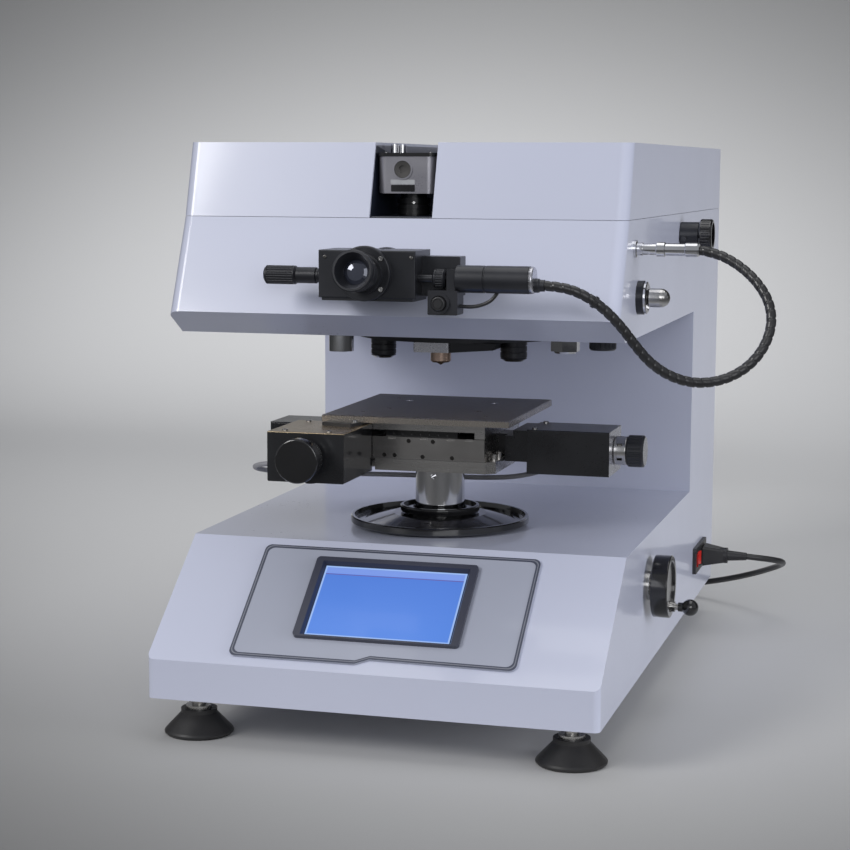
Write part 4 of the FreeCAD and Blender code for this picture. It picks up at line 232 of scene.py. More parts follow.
@dataclass(frozen=True)
class Finish:
    """A surface finish with broad mottling, fine grain and a coat."""

    name: str
    colour: Colour
    shade: Colour
    roughness: float
    metallic: float = 0.0
    coat: float = 0.0
    mottle: float = 14.0
    grain_scale: float = 900.0
    grain: float = 0.05
    stretch: Point = (1.0, 1.0, 1.0)
    spread: float = 0.08
    coat_spread: float = 0.2
    coat_roughness: float = 0.08
    grain_depth: float = 0.0001

    def build(self) -> bpy.types.Material:
        """Return the material."""
        graph = Graph(self.name)
        broad = graph.noise(self.mottle, 4.0)
        grain = graph.noise(self.grain_scale, 2.0, self.stretch)
        coat = broad * self.coat_spread + (self.coat - self.coat_spread / 2) if self.coat else 0.0
        return graph.finish(
            Base_Color=graph.mix(broad.above(0.3, 0.7), self.colour, self.shade),
            Roughness=(grain - 0.5) * self.spread + (broad - 0.5) * self.spread + self.roughness,
            Metallic=self.metallic, Coat_Weight=coat, Coat_Roughness=self.coat_roughness,
            Normal=graph.bump(grain, self.grain, self.grain_depth))


@dataclass(frozen=True)
class DisplayFinish:
    """The lit display: an even blue with a light frame line and a ruled head band.

    Lengths are in millimetres, and heights run up the slope from the base's lip.
    """

    name: str = "display_blue"
    half_width: float = 53.6
    half_height: float = 32.6
    middle: float = 63.5
    frame_line: float = 1.3
    head_band: float = 89.0
    rule: float = 88.6
    rule_half: float = 0.35
    low_blue: Colour = (0.095, 0.235, 0.74)
    high_blue: Colour = (0.075, 0.19, 0.66)
    band_blue: Colour = (0.22, 0.33, 0.80)
    rule_violet: Colour = (0.16, 0.05, 0.20)
    line_blue: Colour = (0.38, 0.55, 0.90)
    unlit: Colour = (0.015, 0.02, 0.05)
    strength: float = 0.8

    def build(self) -> bpy.types.Material:
        """Return the material."""
        graph = Graph(self.name)
        x, y, z = graph.axes()
        up = ((y - LIP.y * MM) * SLOPE_UP.y + (z - LIP.z * MM) * SLOPE_UP.z) * 1000.0
        side = (x * 1000.0).abs()
        tall = (up - self.middle).abs()
        edge = (side - self.half_width).most(tall - self.half_height)
        outside = edge.above(0.0, 0.3)
        rule = ((up - self.rule).abs() * -1.0 + self.rule_half).above(0.0, 0.15)
        glow = graph.mix(up.above(40.0, 95.0), self.low_blue, self.high_blue)
        glow = graph.mix(up.above(self.head_band, self.head_band + 0.6), glow, self.band_blue)
        glow = graph.mix(rule, glow, self.rule_violet)
        glow = graph.mix(edge.above(-self.frame_line, 0.3 - self.frame_line), glow, self.line_blue)
        glow = graph.mix(outside, glow, self.unlit)
        grain = graph.noise(2500.0, 1.0)
        return graph.finish(
            Base_Color=graph.mix(outside, (0.04, 0.08, 0.2), (0.01, 0.012, 0.02)),
            Roughness=grain * 0.05 + 0.14, Emission_Color=glow, Emission_Strength=self.strength,
            Specular_IOR_Level=0.25, Coat_Weight=0.1, Coat_Roughness=0.05)


PAINT = Finish("housing_paint", (0.535, 0.56, 0.685), (0.515, 0.54, 0.665), 0.30, coat=0.55, mottle=5.0,
               grain_scale=420.0, grain=0.05)
LINER = Finish("slot_liner_paint", (0.012, 0.016, 0.03), (0.02, 0.024, 0.04), 0.42)
LINER_RIM = Finish("slot_rim_paint", (0.17, 0.175, 0.215), (0.20, 0.205, 0.245), 0.4, coat=0.2)
CASTING = Finish("casting_primer", (0.13, 0.135, 0.14), (0.17, 0.175, 0.18), 0.55, mottle=30.0,
                 grain_scale=260.0, grain=0.3)
RUBBER = Finish("foot_rubber", (0.014, 0.014, 0.015), (0.024, 0.023, 0.023), 0.46, mottle=40.0,
                grain_scale=700.0, grain=0.12, spread=0.16)
ZINC = Finish("plated_steel", (0.52, 0.51, 0.49), (0.42, 0.41, 0.39), 0.27, metallic=1.0, mottle=60.0,
              grain=0.01)
PANEL = Finish("panel_silver", (0.37, 0.39, 0.47), (0.35, 0.37, 0.45), 0.38, coat=0.3, mottle=9.0,
               grain_scale=1400.0, grain=0.06)
PANEL_LINE = Finish("panel_line", (0.055, 0.062, 0.095), (0.07, 0.078, 0.11), 0.42, coat=0.2)
PANEL_LIGHT = Finish("panel_light_line", (0.20, 0.21, 0.25), (0.23, 0.24, 0.28), 0.38, coat=0.2)
BEZEL = Finish("bezel_grey", (0.042, 0.045, 0.066), (0.055, 0.058, 0.082), 0.36, coat=0.2,
               grain_scale=1200.0)
BEZEL_INNER = Finish("bezel_inner", (0.022, 0.028, 0.055), (0.03, 0.036, 0.065), 0.3, coat=0.2)
BOARD = Finish("circuit_board", (0.02, 0.10, 0.05), (0.015, 0.08, 0.04), 0.4, coat=0.3, mottle=80.0)
BLACK_PLASTIC = Finish("black_plastic", (0.015, 0.015, 0.017), (0.024, 0.024, 0.026), 0.38, mottle=25.0,
                       grain_scale=1500.0, grain=0.12)
RED = Finish("red_rocker", (0.52, 0.02, 0.015), (0.42, 0.016, 0.012), 0.25, coat=0.4, grain_scale=900.0)
BRONZE = Finish("bearing_bronze", (0.55, 0.33, 0.14), (0.46, 0.27, 0.11), 0.3, metallic=1.0)
STEEL = Finish("ground_steel", (0.50, 0.485, 0.47), (0.40, 0.39, 0.375), 0.27, metallic=1.0, mottle=22.0,
               grain_scale=500.0, stretch=(0.06, 1.0, 1.0), grain=0.015, spread=0.06)
STEEL_DARK = Finish("oiled_steel", (0.17, 0.165, 0.16), (0.11, 0.105, 0.10), 0.3, metallic=1.0, mottle=30.0)
BRIGHT = Finish("bright_cover", (0.60, 0.58, 0.565), (0.44, 0.425, 0.41), 0.19, metallic=1.0, mottle=26.0,
                grain_scale=420.0, stretch=(0.05, 1.0, 1.0), grain=0.015, spread=0.07)
GLOSS_BLACK = Finish("gloss_black", (0.006, 0.006, 0.007), (0.011, 0.011, 0.012), 0.12, coat=0.6,
                     mottle=18.0, grain_scale=300.0, grain=0.02, spread=0.06)
CHROME = Finish("polished_chrome", (0.74, 0.74, 0.75), (0.60, 0.60, 0.62), 0.10, metallic=1.0, mottle=28.0,
                grain=0.0, spread=0.05)
NICKEL = Finish("satin_nickel", (0.60, 0.59, 0.58), (0.46, 0.455, 0.45), 0.24, metallic=1.0, mottle=90.0,
                grain=0.01, spread=0.05)
ANODISED = Finish("black_anodised", (0.014, 0.015, 0.019), (0.024, 0.025, 0.031), 0.36, metallic=0.25,
                  coat=0.1, mottle=30.0, grain_scale=1600.0, grain=0.1)
DRIVE_BOX = Finish("drive_box_black", (0.016, 0.016, 0.018), (0.026, 0.027, 0.030), 0.30, metallic=0.35,
                   coat=0.15, mottle=24.0, grain_scale=1100.0, grain=0.08, spread=0.12)
DRIVE_SIDE = Finish("drive_box_side", (0.02, 0.02, 0.022), (0.035, 0.035, 0.038), 0.13, metallic=0.6,
                    coat=0.3, mottle=20.0, grain=0.03)
TAN_LID = Finish("tan_lid", (0.36, 0.27, 0.16), (0.42, 0.34, 0.23), 0.28, metallic=0.8, mottle=16.0)
LIGHT_CAP = Finish("light_metal_cap", (0.50, 0.50, 0.54), (0.58, 0.58, 0.62), 0.27, metallic=0.9,
                   mottle=60.0, grain=0.0, spread=0.04)
BROWN_PLATE = Finish("burnished_plate", (0.060, 0.048, 0.038), (0.100, 0.083, 0.066), 0.34, metallic=0.2,
                     mottle=24.0, grain_scale=620.0, stretch=(0.35, 1.0, 1.0), grain=0.03, spread=0.08)
PLATE_EDGE = Finish("plate_edge", (0.44, 0.40, 0.36), (0.35, 0.32, 0.285), 0.27, metallic=0.95, mottle=30.0,
                    grain=0.01, spread=0.04)
CAMERA = Finish("camera_grey", (0.27, 0.265, 0.295), (0.33, 0.325, 0.355), 0.30, metallic=0.6, coat=0.1,
                mottle=40.0, grain_scale=1300.0, grain=0.03)
CAMERA_DARK = Finish("camera_dark", (0.010, 0.010, 0.011), (0.018, 0.018, 0.02), 0.3, metallic=0.3,
                     mottle=40.0)
LABEL_PALE = Finish("blank_label", (0.42, 0.43, 0.45), (0.36, 0.37, 0.39), 0.45, mottle=200.0)
CABLE = Finish("black_cable", (0.013, 0.013, 0.014), (0.022, 0.022, 0.024), 0.36, coat=0.15, mottle=60.0,
               grain_scale=1500.0, grain=0.1)
GREY_CABLE = Finish("grey_cable", (0.30, 0.30, 0.32), (0.25, 0.25, 0.27), 0.38, mottle=60.0)
LENS = Finish("eye_lens", (0.03, 0.035, 0.055), (0.045, 0.05, 0.075), 0.04, metallic=0.5, coat=0.9,
              mottle=60.0, grain=0.0, spread=0.02)
OILED = Finish("blackened_screw", (0.012, 0.011, 0.01), (0.02, 0.018, 0.016), 0.32, metallic=0.4)
COPPERY = Finish("indenter_holder", (0.60, 0.44, 0.36), (0.48, 0.35, 0.28), 0.24, metallic=0.9, mottle=150.0)
DISPLAY = DisplayFinish()
Look = Finish | DisplayFinish


class Palette:
    """Builds each finish once."""

    def __init__(self) -> None:
        self._made: dict[str, bpy.types.Material] = {}

    def __getitem__(self, finish: Look) -> bpy.types.Material:
        """Return the material of a finish."""
        if finish.name not in self._made:
            self._made[finish.name] = finish.build()
        return self._made[finish.name]


def out_of_slope(point: Vector) -> float:
    """Return how far out of the slope a point is, in millimetres."""
    return (point / MM - LIP).dot(SLOPE_OUT)


def beyond(axis: Axis, limit: float, sign: int = 1) -> Region:
    """Return a test for faces past a limit in millimetres along an axis."""
    return lambda centre, normal: sign * (centre[axis] - limit * MM) > 0.0


def within(spans: Spans) -> Region:
    """Return a test for faces whose centre lies between limits in millimetres along some axes."""
    return lambda centre, normal: all(low * MM < centre[axis] < high * MM for axis, low, high in spans)


def inside_ring(place: Point, axis: Axis, radius: float) -> Region:
    """Return a test for faces nearer than a radius to the line along an axis through a place (mm)."""
    middle = mm(*place)
    u, v = (other for other in Axis if other is not axis)
    return lambda centre, normal: math.hypot(centre[u] - middle[u], centre[v] - middle[v]) < radius * MM


def on_bezel(centre: Vector, normal: Vector) -> bool:
    """True for the bezel that stands out of the panel."""
    return out_of_slope(centre) > PANEL_FACE + 0.1


def on_bezel_slope(centre: Vector, normal: Vector) -> bool:
    """True for the bevelled inner edge of the bezel."""
    return on_bezel(centre, normal) and 0.2 < normal.dot(SLOPE_OUT) < 0.95


class Workshop:
    """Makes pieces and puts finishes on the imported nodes."""

    def __init__(self, frame: dict, palette: Palette) -> None:
        self.nodes: dict[str, bpy.types.Object] = frame["nodes"]
        self.palette = palette

    def paint(self, finish: Look, *names: str) -> None:
        """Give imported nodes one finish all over."""
        for name in names:
            self.repaint(name, finish)

    def repaint(self, name: str, base: Look, *regions: tuple[Finish, Region]) -> None:
        """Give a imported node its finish, and other finishes on the faces that a region picks."""
        mesh = self.nodes[name].data
        mesh.materials.clear()
        for finish in [base, *(finish for finish, _ in regions)]:
            mesh.materials.append(self.palette[finish])
        for face in mesh.polygons:
            face.material_index = 0
            for number, (_, region) in enumerate(regions, start=1):
                if region(face.center, face.normal):
                    face.material_index = number

    def piece(self, name: str, shape: Mesh, finish: Finish, slot: str, body: Body = Body.HOUSING,
              smooth: float = 35.0) -> bpy.types.Object:
        """Turn a bmesh in metres into a piece that rides on a body.

        Args:
            name: The piece's name.
            shape: The mesh, freed here.
            finish: Its finish.
            slot: The record's material slot; not used.
            body: What it rides on.
            smooth: The largest angle shaded smooth, in degrees.

        Returns:
            The new object.
        """
        mesh = bpy.data.meshes.new(name)
        bmesh.ops.recalc_face_normals(shape, faces=shape.faces[:])
        shape.to_mesh(mesh)
        shape.free()
        mesh.materials.append(self.palette[finish])
        mesh.shade_smooth()
        mesh.set_sharp_from_angle(angle=math.radians(smooth))
        made = bpy.data.objects.new(name, mesh)
        bpy.context.scene.collection.objects.link(made)
        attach(made, body.value)
        log.info("%s: %d faces on %s", name, len(mesh.polygons), body.value)
        return made


def placed(origin: Vector, axis: Vector) -> Matrix:
    """Return the matrix that takes +Z at the origin to an axis at a point (metres)."""
    turn = Vector(UP).rotation_difference(axis.normalized()).to_matrix().to_4x4()
    return Matrix.Translation(origin) @ turn


def verts_of(parts: Sequence[object]) -> list[bmesh.types.BMVert]:
    """Return the vertices among the parts that an operator made."""
    return [part for part in parts if isinstance(part, bmesh.types.BMVert)]


def lathe(shape: Mesh, profile: Sequence[Pair], matrix: Matrix, segments: int = 32) -> None:
    """Spin a profile of (radius, height) in millimetres about the matrix's Z axis.

    Args:
        shape: The mesh that gets the turned form.
        profile: The half section, from pole to pole where the form is closed.
        matrix: Where the axis stands.
        segments: Steps round the axis.
    """
    line = [shape.verts.new(matrix @ mm(radius, 0, height)) for radius, height in profile]
    edges = [shape.edges.new(pair) for pair in zip(line, line[1:])]
    known = set(shape.verts) - set(line)
    bmesh.ops.spin(shape, geom=[*line, *edges], cent=matrix.translation, axis=matrix.to_3x3() @ Vector(UP),
                   angle=2 * math.pi, steps=segments, use_merge=True)
    bmesh.ops.remove_doubles(shape, verts=[vert for vert in shape.verts if vert not in known], dist=1e-6)


def thicken(shape: Mesh, faces: Sequence[bmesh.types.BMFace], rise: Vector) -> None:
    """Extrude flat faces by a vector in metres."""
    made = bmesh.ops.extrude_face_region(shape, geom=list(faces))["geom"]
    bmesh.ops.translate(shape, verts=verts_of(made), vec=rise)


def plate(shape: Mesh, outline: Sequence[Vector], rise: Vector) -> None:
    """Add a flat plate from an outline in metres, thickened by rise."""
    thicken(shape, [shape.faces.new([shape.verts.new(point) for point in outline])], rise)


def loop_of(shape: Mesh, points: Sequence[Vector]) -> list[bmesh.types.BMEdge]:
    """Return the edges of a closed line through points in metres."""
    verts = [shape.verts.new(point) for point in points]
    return [shape.edges.new(pair) for pair in zip(verts, verts[1:] + verts[:1])]


def ribbon(shape: Mesh, line: Sequence[Vector], inner: Sequence[Vector], rise: Vector) -> None:
    """Add a closed flat ribbon between an outer and an inner line in metres, thickened by rise."""
    edges = loop_of(shape, line) + loop_of(shape, inner)
    thicken(shape, bmesh.ops.bridge_loops(shape, edges=edges)["faces"], rise)


def rounded_corners(points: Sequence[Pair], radii: Sequence[float], steps: int = 6) -> list[Pair]:
    """Return an outline with its corners rounded."""
    result: list[Pair] = []
    count = len(points)
    for i, (point, radius) in enumerate(zip(points, radii)):
        here, before, after = Vector(point), Vector(points[i - 1]), Vector(points[(i + 1) % count])
        first, last = (before - here).normalized(), (after - here).normalized()
        half_angle = first.angle(last) / 2.0
        reach = radius / math.tan(half_angle)
        middle = here + (first + last).normalized() * (radius / math.sin(half_angle))
        start, end = here + first * reach - middle, here + last * reach - middle
        turn = start.angle(end)
        for k in range(steps + 1):
            share = k / steps
            a = math.sin((1 - share) * turn) / math.sin(turn)
            b = math.sin(share * turn) / math.sin(turn)
            result.append(tuple(middle + start * a + end * b))
    return result


def on_slope(side: float, up: float, out: float) -> Vector:
    """Return a point on the base's slope, in metres."""
    return (LIP + Vector((side, 0, 0)) + SLOPE_UP * up + SLOPE_OUT * out) * MM


@dataclass(frozen=True)
class CapScrew:
    """A cap-screw head with a round socket, in millimetres."""

    place: Point
    axis: Point
    radius: float
    tall: float
    socket: float

    def add(self, shape: Mesh) -> None:
        """Add the head to a mesh."""
        profile = [(0.0, 0.0), (self.radius, 0.0), (self.radius, self.tall * 0.8),
                   (self.radius * 0.86, self.tall), (self.socket, self.tall), (self.socket, self.tall * 0.35),
                   (0.0, self.tall * 0.3)]
        lathe(shape, profile, placed(mm(*self.place), Vector(self.axis)), 24)


@dataclass
class Assembly:
    """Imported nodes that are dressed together, with the trim that belongs to them (millimetres)."""

    shop: Workshop

    def dress(self) -> None:
        """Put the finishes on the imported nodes."""

    def trim(self) -> None:
        """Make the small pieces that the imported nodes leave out."""

    def build(self) -> None:
        """Dress the nodes and make the trim."""
        log.info("dressing the %s", type(self).__name__)
        self.dress()
        self.trim()

    def screws(self, name: str, heads: Sequence[CapScrew], finish: Finish, slot: str,
               body: Body = Body.HOUSING) -> None:
        """Make several screw heads as one piece."""
        shape = bmesh.new()
        for head in heads:
            head.add(shape)
        self.shop.piece(name, shape, finish, slot, body)


@dataclass
class Housing(Assembly):
    """The painted casings, the frame and the feet, and the electrical parts."""

    rear_screws_y: float = 365.05
    liner_rim_z: float = 421.0
    power_pack_y: float = 200.0
    plug_pins_x: float = -48.5

    def dress(self) -> None:
        """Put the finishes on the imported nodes."""
        self.shop.paint(PAINT, "base_casing", "column_casing", "head_casing", "head_cover", "bottom_plate")
        self.shop.repaint("rear_panel", PAINT, (ZINC, beyond(Axis.Y, self.rear_screws_y)))
        self.shop.repaint("slot_liner", LINER, (LINER_RIM, beyond(Axis.Z, self.liner_rim_z)))
        self.shop.paint(CASTING, "main_frame")
        self.shop.paint(RUBBER, "feet")
        self.shop.paint(ZINC, "foot_studs")
        self.shop.repaint("electronics", BOARD, (ZINC, beyond(Axis.Y, self.power_pack_y)))
        self.shop.paint(RED, "power_rocker")
        self.shop.paint(BLACK_PLASTIC, "mains_inlet", "inlet_plug")
        self.shop.repaint("wall_plug", BLACK_PLASTIC, (NICKEL, beyond(Axis.X, self.plug_pins_x, -1)))


@dataclass
class ControlPanel(Assembly):
    """The panel and display on the slope, with the double line that steps up at the bottom."""

    half_width: float = 105.5
    bottom: float = 7.5
    top: float = 114.0
    step_from: float = -10.5
    step_to: float = -0.5
    step_rise: float = 4.8
    end_rise: float = 3.5
    corner: float = 5.0
    step_corner: float = 3.0
    dark_line: Pair = (0.2, 3.1)
    light_line: Pair = (1.3, 1.95)
    line_rise: float = 0.35
    line_sunk: float = 0.05

    def dress(self) -> None:
        """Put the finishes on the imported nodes."""
        self.shop.repaint("front_panel", PANEL, (BEZEL, on_bezel), (BEZEL_INNER, on_bezel_slope))
        self.shop.paint(DISPLAY, "touch_screen")

    def outline(self, inset: float) -> list[Vector]:
        """Return the line's run, inset from the panel's edge."""
        side, low, high = self.half_width - inset, self.bottom + inset, self.top - inset
        points = [(-side, low), (self.step_from, low), (self.step_to, low + self.step_rise),
                  (side, low + self.end_rise), (side, high), (-side, high)]
        radii = [self.corner, self.step_corner, self.step_corner, self.corner, self.corner, self.corner]
        shaped = rounded_corners(points, radii)
        return [on_slope(across, up, PANEL_FACE - self.line_sunk) for across, up in shaped]

    def trim(self) -> None:
        """Make both lines, the light one a little prouder."""
        for name, (outer, inner), share, finish in (("panel_dark_line", self.dark_line, 1.0, PANEL_LINE),
                                                    ("panel_light_line", self.light_line, 1.25, PANEL_LIGHT)):
            shape = bmesh.new()
            ribbon(shape, self.outline(outer), self.outline(inner), SLOPE_OUT * self.line_rise * share * MM)
            self.shop.piece(name, shape, finish, "panel_silver")


@dataclass
class MeasuringEyepiece(Assembly):
    """The measuring eyepiece with its drums, encoder and push button."""

    centre: Point = (-3.0, -196.5, 342.0)
    tilt: float = 9.0
    rim_from: float = 26.0
    rim_inner: float = 11.0
    lens_radius: float = 8.3
    lens_depth: Pair = (9.0, 15.0)
    encoder_band: Spans = ((Axis.X, 111.8, 114.5),)
    flange_radius: float = 16.2
    flange_y: float = -192.2
    flange_angles: tuple[float, ...] = (40.0, 160.0, 220.0, 320.0)
    case_places: tuple[Point, ...] = ((-32.0, -188.05, 353.0), (30.0, -188.05, 353.0), (58.0, -171.6, 345.0))
    drum: Point = (-58.7, -169.0, 339.0)
    drum_radius: float = 4.92
    marks: int = 36
    mark_start: float = 2.6
    mark_long: float = 2.4
    mark_short: float = 1.6
    mark_half: float = 0.11
    mark_rise: float = 0.06

    def along_tube(self, point: Vector) -> Pair:
        """Return how far out along the tilted tube a point is, and how far from its axis."""
        tilt = math.radians(self.tilt)
        axis = Vector((0.0, -math.cos(tilt), math.sin(tilt)))
        apart = point / MM - Vector(self.centre)
        out = apart.dot(axis)
        return out, (apart - axis * out).length

    def on_cup_rim(self, centre: Vector, normal: Vector) -> bool:
        """True for the polished rim of the eye cup."""
        out, radius = self.along_tube(centre)
        return out > self.rim_from and radius > self.rim_inner

    def on_eye_lens(self, centre: Vector, normal: Vector) -> bool:
        """True for the domed glass deep in the eye cup."""
        out, radius = self.along_tube(centre)
        return radius < self.lens_radius and self.lens_depth[0] < out < self.lens_depth[1]

    def dress(self) -> None:
        """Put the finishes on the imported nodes."""
        self.shop.paint(ANODISED, "filar_box", "left_drum", "thumbwheel", "button_block")
        self.shop.paint(NICKEL, "left_hair_frame", "right_hair_frame")
        self.shop.repaint("eyepiece", ANODISED, (GLOSS_BLACK, self.on_cup_rim), (LENS, self.on_eye_lens))
        self.shop.repaint("encoder", ANODISED, (LIGHT_CAP, within(self.encoder_band)))
        self.shop.paint(BLACK_PLASTIC, "record_button")
        self.shop.paint(CHROME, "loom_plug")

    def trim(self) -> None:
        """Make the screws and the drum's marks."""
        heads = []
        for angle in map(math.radians, self.flange_angles):
            place = (self.centre[0] + self.flange_radius * math.cos(angle), self.flange_y,
                     self.centre[2] + self.flange_radius * math.sin(angle))
            heads.append(CapScrew(place, FRONT, 1.7, 0.9, 0.8))
        self.screws("flange_screws", heads, NICKEL, "chrome_steel")
        heads = [CapScrew(place, FRONT, 1.2, 0.5, 0.6) for place in self.case_places]
        self.screws("case_screws", heads, STEEL_DARK, "black_anodised")
        self.scale_marks()

    def scale_marks(self) -> None:
        """Make the marks round the left drum, each fifth one longer."""
        shape = bmesh.new()
        for i in range(self.marks):
            turn = Matrix.Rotation(2 * math.pi * i / self.marks, 4, "Z")
            matrix = placed(mm(*self.drum), Vector(RIGHT)) @ turn
            end = self.mark_start + (self.mark_short if i % 5 else self.mark_long)
            corners = [(-self.mark_half, self.mark_start), (self.mark_half, self.mark_start),
                       (self.mark_half, end), (-self.mark_half, end)]
            outline = [matrix @ mm(self.drum_radius, across, along) for across, along in corners]
            plate(shape, outline, matrix.to_3x3() @ mm(self.mark_rise, 0, 0))
        self.shop.piece("drum_marks", shape, LABEL_PALE, "black_anodised")


@dataclass
class SlotCamera(Assembly):
    """The camera in the head's slot, with blank labels, a socket and screws."""

    lens_top: float = 395.4
    seam: Spans = ((Axis.Z, 422.0, 424.7),)
    cap_z: float = 424.65
    label_y: float = -104.5
    label_rise: float = 0.15
    label_corner: float = 0.6
    pale_label: tuple[float, float, float, float] = (-9.8, 8.4, 402.0, 405.4)
    black_label: tuple[float, float, float, float] = (-9.4, 8.4, 396.8, 401.6)
    socket: Point = (-0.8, -104.6, 412.7)

    def dress(self) -> None:
        """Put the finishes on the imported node."""
        self.shop.repaint("slot_camera", CAMERA, (CAMERA_DARK, beyond(Axis.Z, self.lens_top, -1)),
                          (CAMERA_DARK, within(self.seam)), (CHROME, beyond(Axis.Z, self.cap_z)))

    def trim(self) -> None:
        """Make the labels, the socket and the screws."""
        for name, (x0, x1, z0, z1), finish in (("camera_pale_label", self.pale_label, LABEL_PALE),
                                               ("camera_black_label", self.black_label, CAMERA_DARK)):
            shape = bmesh.new()
            corners = rounded_corners([(x0, z0), (x1, z0), (x1, z1), (x0, z1)], [self.label_corner] * 4, 3)
            plate(shape, [mm(x, self.label_y, z) for x, z in corners], mm(0, -self.label_rise, 0))
            self.shop.piece(name, shape, finish, "camera_metal")
        shape = bmesh.new()
        profile = [(0.0, -1.8), (6.2, -1.8), (6.2, 0.0), (6.0, 0.3), (2.8, 0.1), (2.8, -1.4), (0.0, -1.5)]
        lathe(shape, profile, placed(mm(*self.socket), Vector(FRONT)), 32)
        self.shop.piece("camera_socket", shape, STEEL_DARK, "camera_metal")
        heads = [CapScrew((x, -99.0, 424.55), UP, 1.3, 0.5, 0.6) for x in (-15.0, 18.4)]
        heads.append(CapScrew((3.4, -89.2, 388.8), (0.25, -1.0, 0.0), 1.1, 0.7, 0.5))
        self.screws("camera_screws", heads, NICKEL, "camera_metal")


@dataclass
class Elevator(Assembly):
    """The elevating spindle with its wheel, bearings and handwheel."""

    nut_neck_z: float = 136.0
    bush_face_x: float = 166.05
    shaft: Point = (0.0, 0.0, 97.0)
    hub_radius: float = 18.6
    pin_place: Point = (0.0, 10.25, 79.25)
    pin_radius: float = 2.9

    def dress(self) -> None:
        """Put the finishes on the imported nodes."""
        self.shop.repaint("elevating_nut", STEEL, (GLOSS_BLACK, beyond(Axis.Z, self.nut_neck_z)))
        self.shop.paint(CHROME, "spindle")
        self.shop.repaint("bearings", BRONZE, (NICKEL, beyond(Axis.X, self.bush_face_x)))
        self.shop.paint(STEEL, "handwheel_shaft")
        self.shop.repaint("handwheel", GLOSS_BLACK,
                          (NICKEL, inside_ring(self.shaft, Axis.X, self.hub_radius)),
                          (NICKEL, inside_ring(self.pin_place, Axis.X, self.pin_radius)))
        self.shop.paint(GLOSS_BLACK, "spindle_wheel", "crank_knob")


@dataclass
class CrossStage(Assembly):
    """The cross stage with its drive boxes, screws and stop bracket."""

    rail_z: float = 212.1
    cover_y: float = -57.05
    plate_top_normal: float = 0.9
    lid_z: float = 220.6
    x_end_plate: float = 136.6
    y_knob: float = -129.0
    x_knob: float = 148.4
    lid_screws: tuple[Pair, ...] = ((-52.0, -66.0), (-86.0, -66.0), (-86.0, -120.0), (-52.0, -120.0))
    block_screws: tuple[Pair, ...] = ((80.0, -20.0), (80.0, 20.0))
    bracket: tuple[Pair, ...] = ((-70.0, -84.0), (-44.0, -92.0), (-39.5, -58.5), (-62.0, -58.5))
    bracket_z: float = 221.95
    bracket_thick: float = 2.6
    cover_screws: tuple[Pair, ...] = ((-9.0, 209.3), (10.0, 209.3), (-28.0, 198.0), (-20.0, 198.0),
                                      (2.0, 197.5), (25.0, 197.5))
    plate_screws: tuple[Pair, ...] = ((-40.0, -37.0), (34.0, -37.0), (-35.0, 34.0), (35.0, 34.0))

    def on_plate_edge(self, centre: Vector, normal: Vector) -> bool:
        """True for the specimen plate's faces other than its top."""
        return normal.z < self.plate_top_normal

    @staticmethod
    def on_box_side(centre: Vector, normal: Vector) -> bool:
        """True for the Y drive box's sides under its lid."""
        return abs(normal.x) > 0.9 and centre.z < 0.2205

    @staticmethod
    def on_knob_end(centre: Vector, normal: Vector) -> bool:
        """True for the end face of the X knob."""
        return centre.x > 0.16 and normal.x > 0.9

    def dress(self) -> None:
        """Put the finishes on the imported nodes."""
        self.shop.paint(STEEL, "stage_base", "x_carriage")
        self.shop.repaint("y_carriage", STEEL, (GLOSS_BLACK, beyond(Axis.Z, self.rail_z)),
                          (BRIGHT, beyond(Axis.Y, self.cover_y, -1)))
        self.shop.repaint("stage_plate", BROWN_PLATE, (PLATE_EDGE, self.on_plate_edge))
        self.shop.repaint("y_motor_box", DRIVE_BOX, (TAN_LID, beyond(Axis.Z, self.lid_z)),
                          (DRIVE_SIDE, self.on_box_side))
        self.shop.repaint("x_motor_box", DRIVE_BOX, (LIGHT_CAP, beyond(Axis.X, self.x_end_plate)))
        self.shop.paint(DRIVE_BOX, "limit_switch_box")
        self.shop.paint(ANODISED, "stage_motors")
        self.shop.repaint("y_screw", STEEL, (GLOSS_BLACK, beyond(Axis.Y, self.y_knob, -1)))
        self.shop.repaint("x_screw", NICKEL, (ANODISED, beyond(Axis.X, self.x_knob)),
                          (LIGHT_CAP, self.on_knob_end))

    def trim(self) -> None:
        """Make the screws and the stop bracket."""
        heads = [CapScrew((x, y, 221.9), UP, 2.2, 1.2, 1.1) for x, y in self.lid_screws]
        heads += [CapScrew((x, y, 216.9), UP, 2.2, 1.4, 1.1) for x, y in self.block_screws]
        self.screws("drive_box_screws", heads, NICKEL, "chrome_steel", Body.Y_SLIDE)
        shape = bmesh.new()
        corners = rounded_corners(self.bracket, [2.0, 1.0, 1.0, 1.0], 4)
        plate(shape, [mm(x, y, self.bracket_z) for x, y in corners], mm(0, 0, self.bracket_thick))
        self.shop.piece("stop_bracket", shape, BLACK_PLASTIC, "black_anodised", Body.Y_SLIDE)
        heads = [CapScrew((-46.0, -75.0, 224.5), UP, 2.4, 1.6, 1.2)]
        self.screws("stop_screw", heads, NICKEL, "chrome_steel", Body.Y_SLIDE)
        heads = [CapScrew((x, -58.19, z), FRONT, 1.65, 0.25, 1.0) for x, z in self.cover_screws]
        self.screws("cover_screws", heads, OILED, "stage_steel", Body.Y_SLIDE)
        shape = bmesh.new()
        profile = [(0.0, 227.9), (2.9, 227.9), (3.05, 228.86), (2.6, 228.98), (1.4, 228.98), (1.3, 228.3),
                   (0.0, 228.25)]
        for x, y in self.plate_screws:
            lathe(shape, profile, Matrix.Translation(mm(x, y, 0)), 20)
        self.shop.piece("plate_screw_faces", shape, NICKEL, "brown_steel", Body.X_SLIDE)


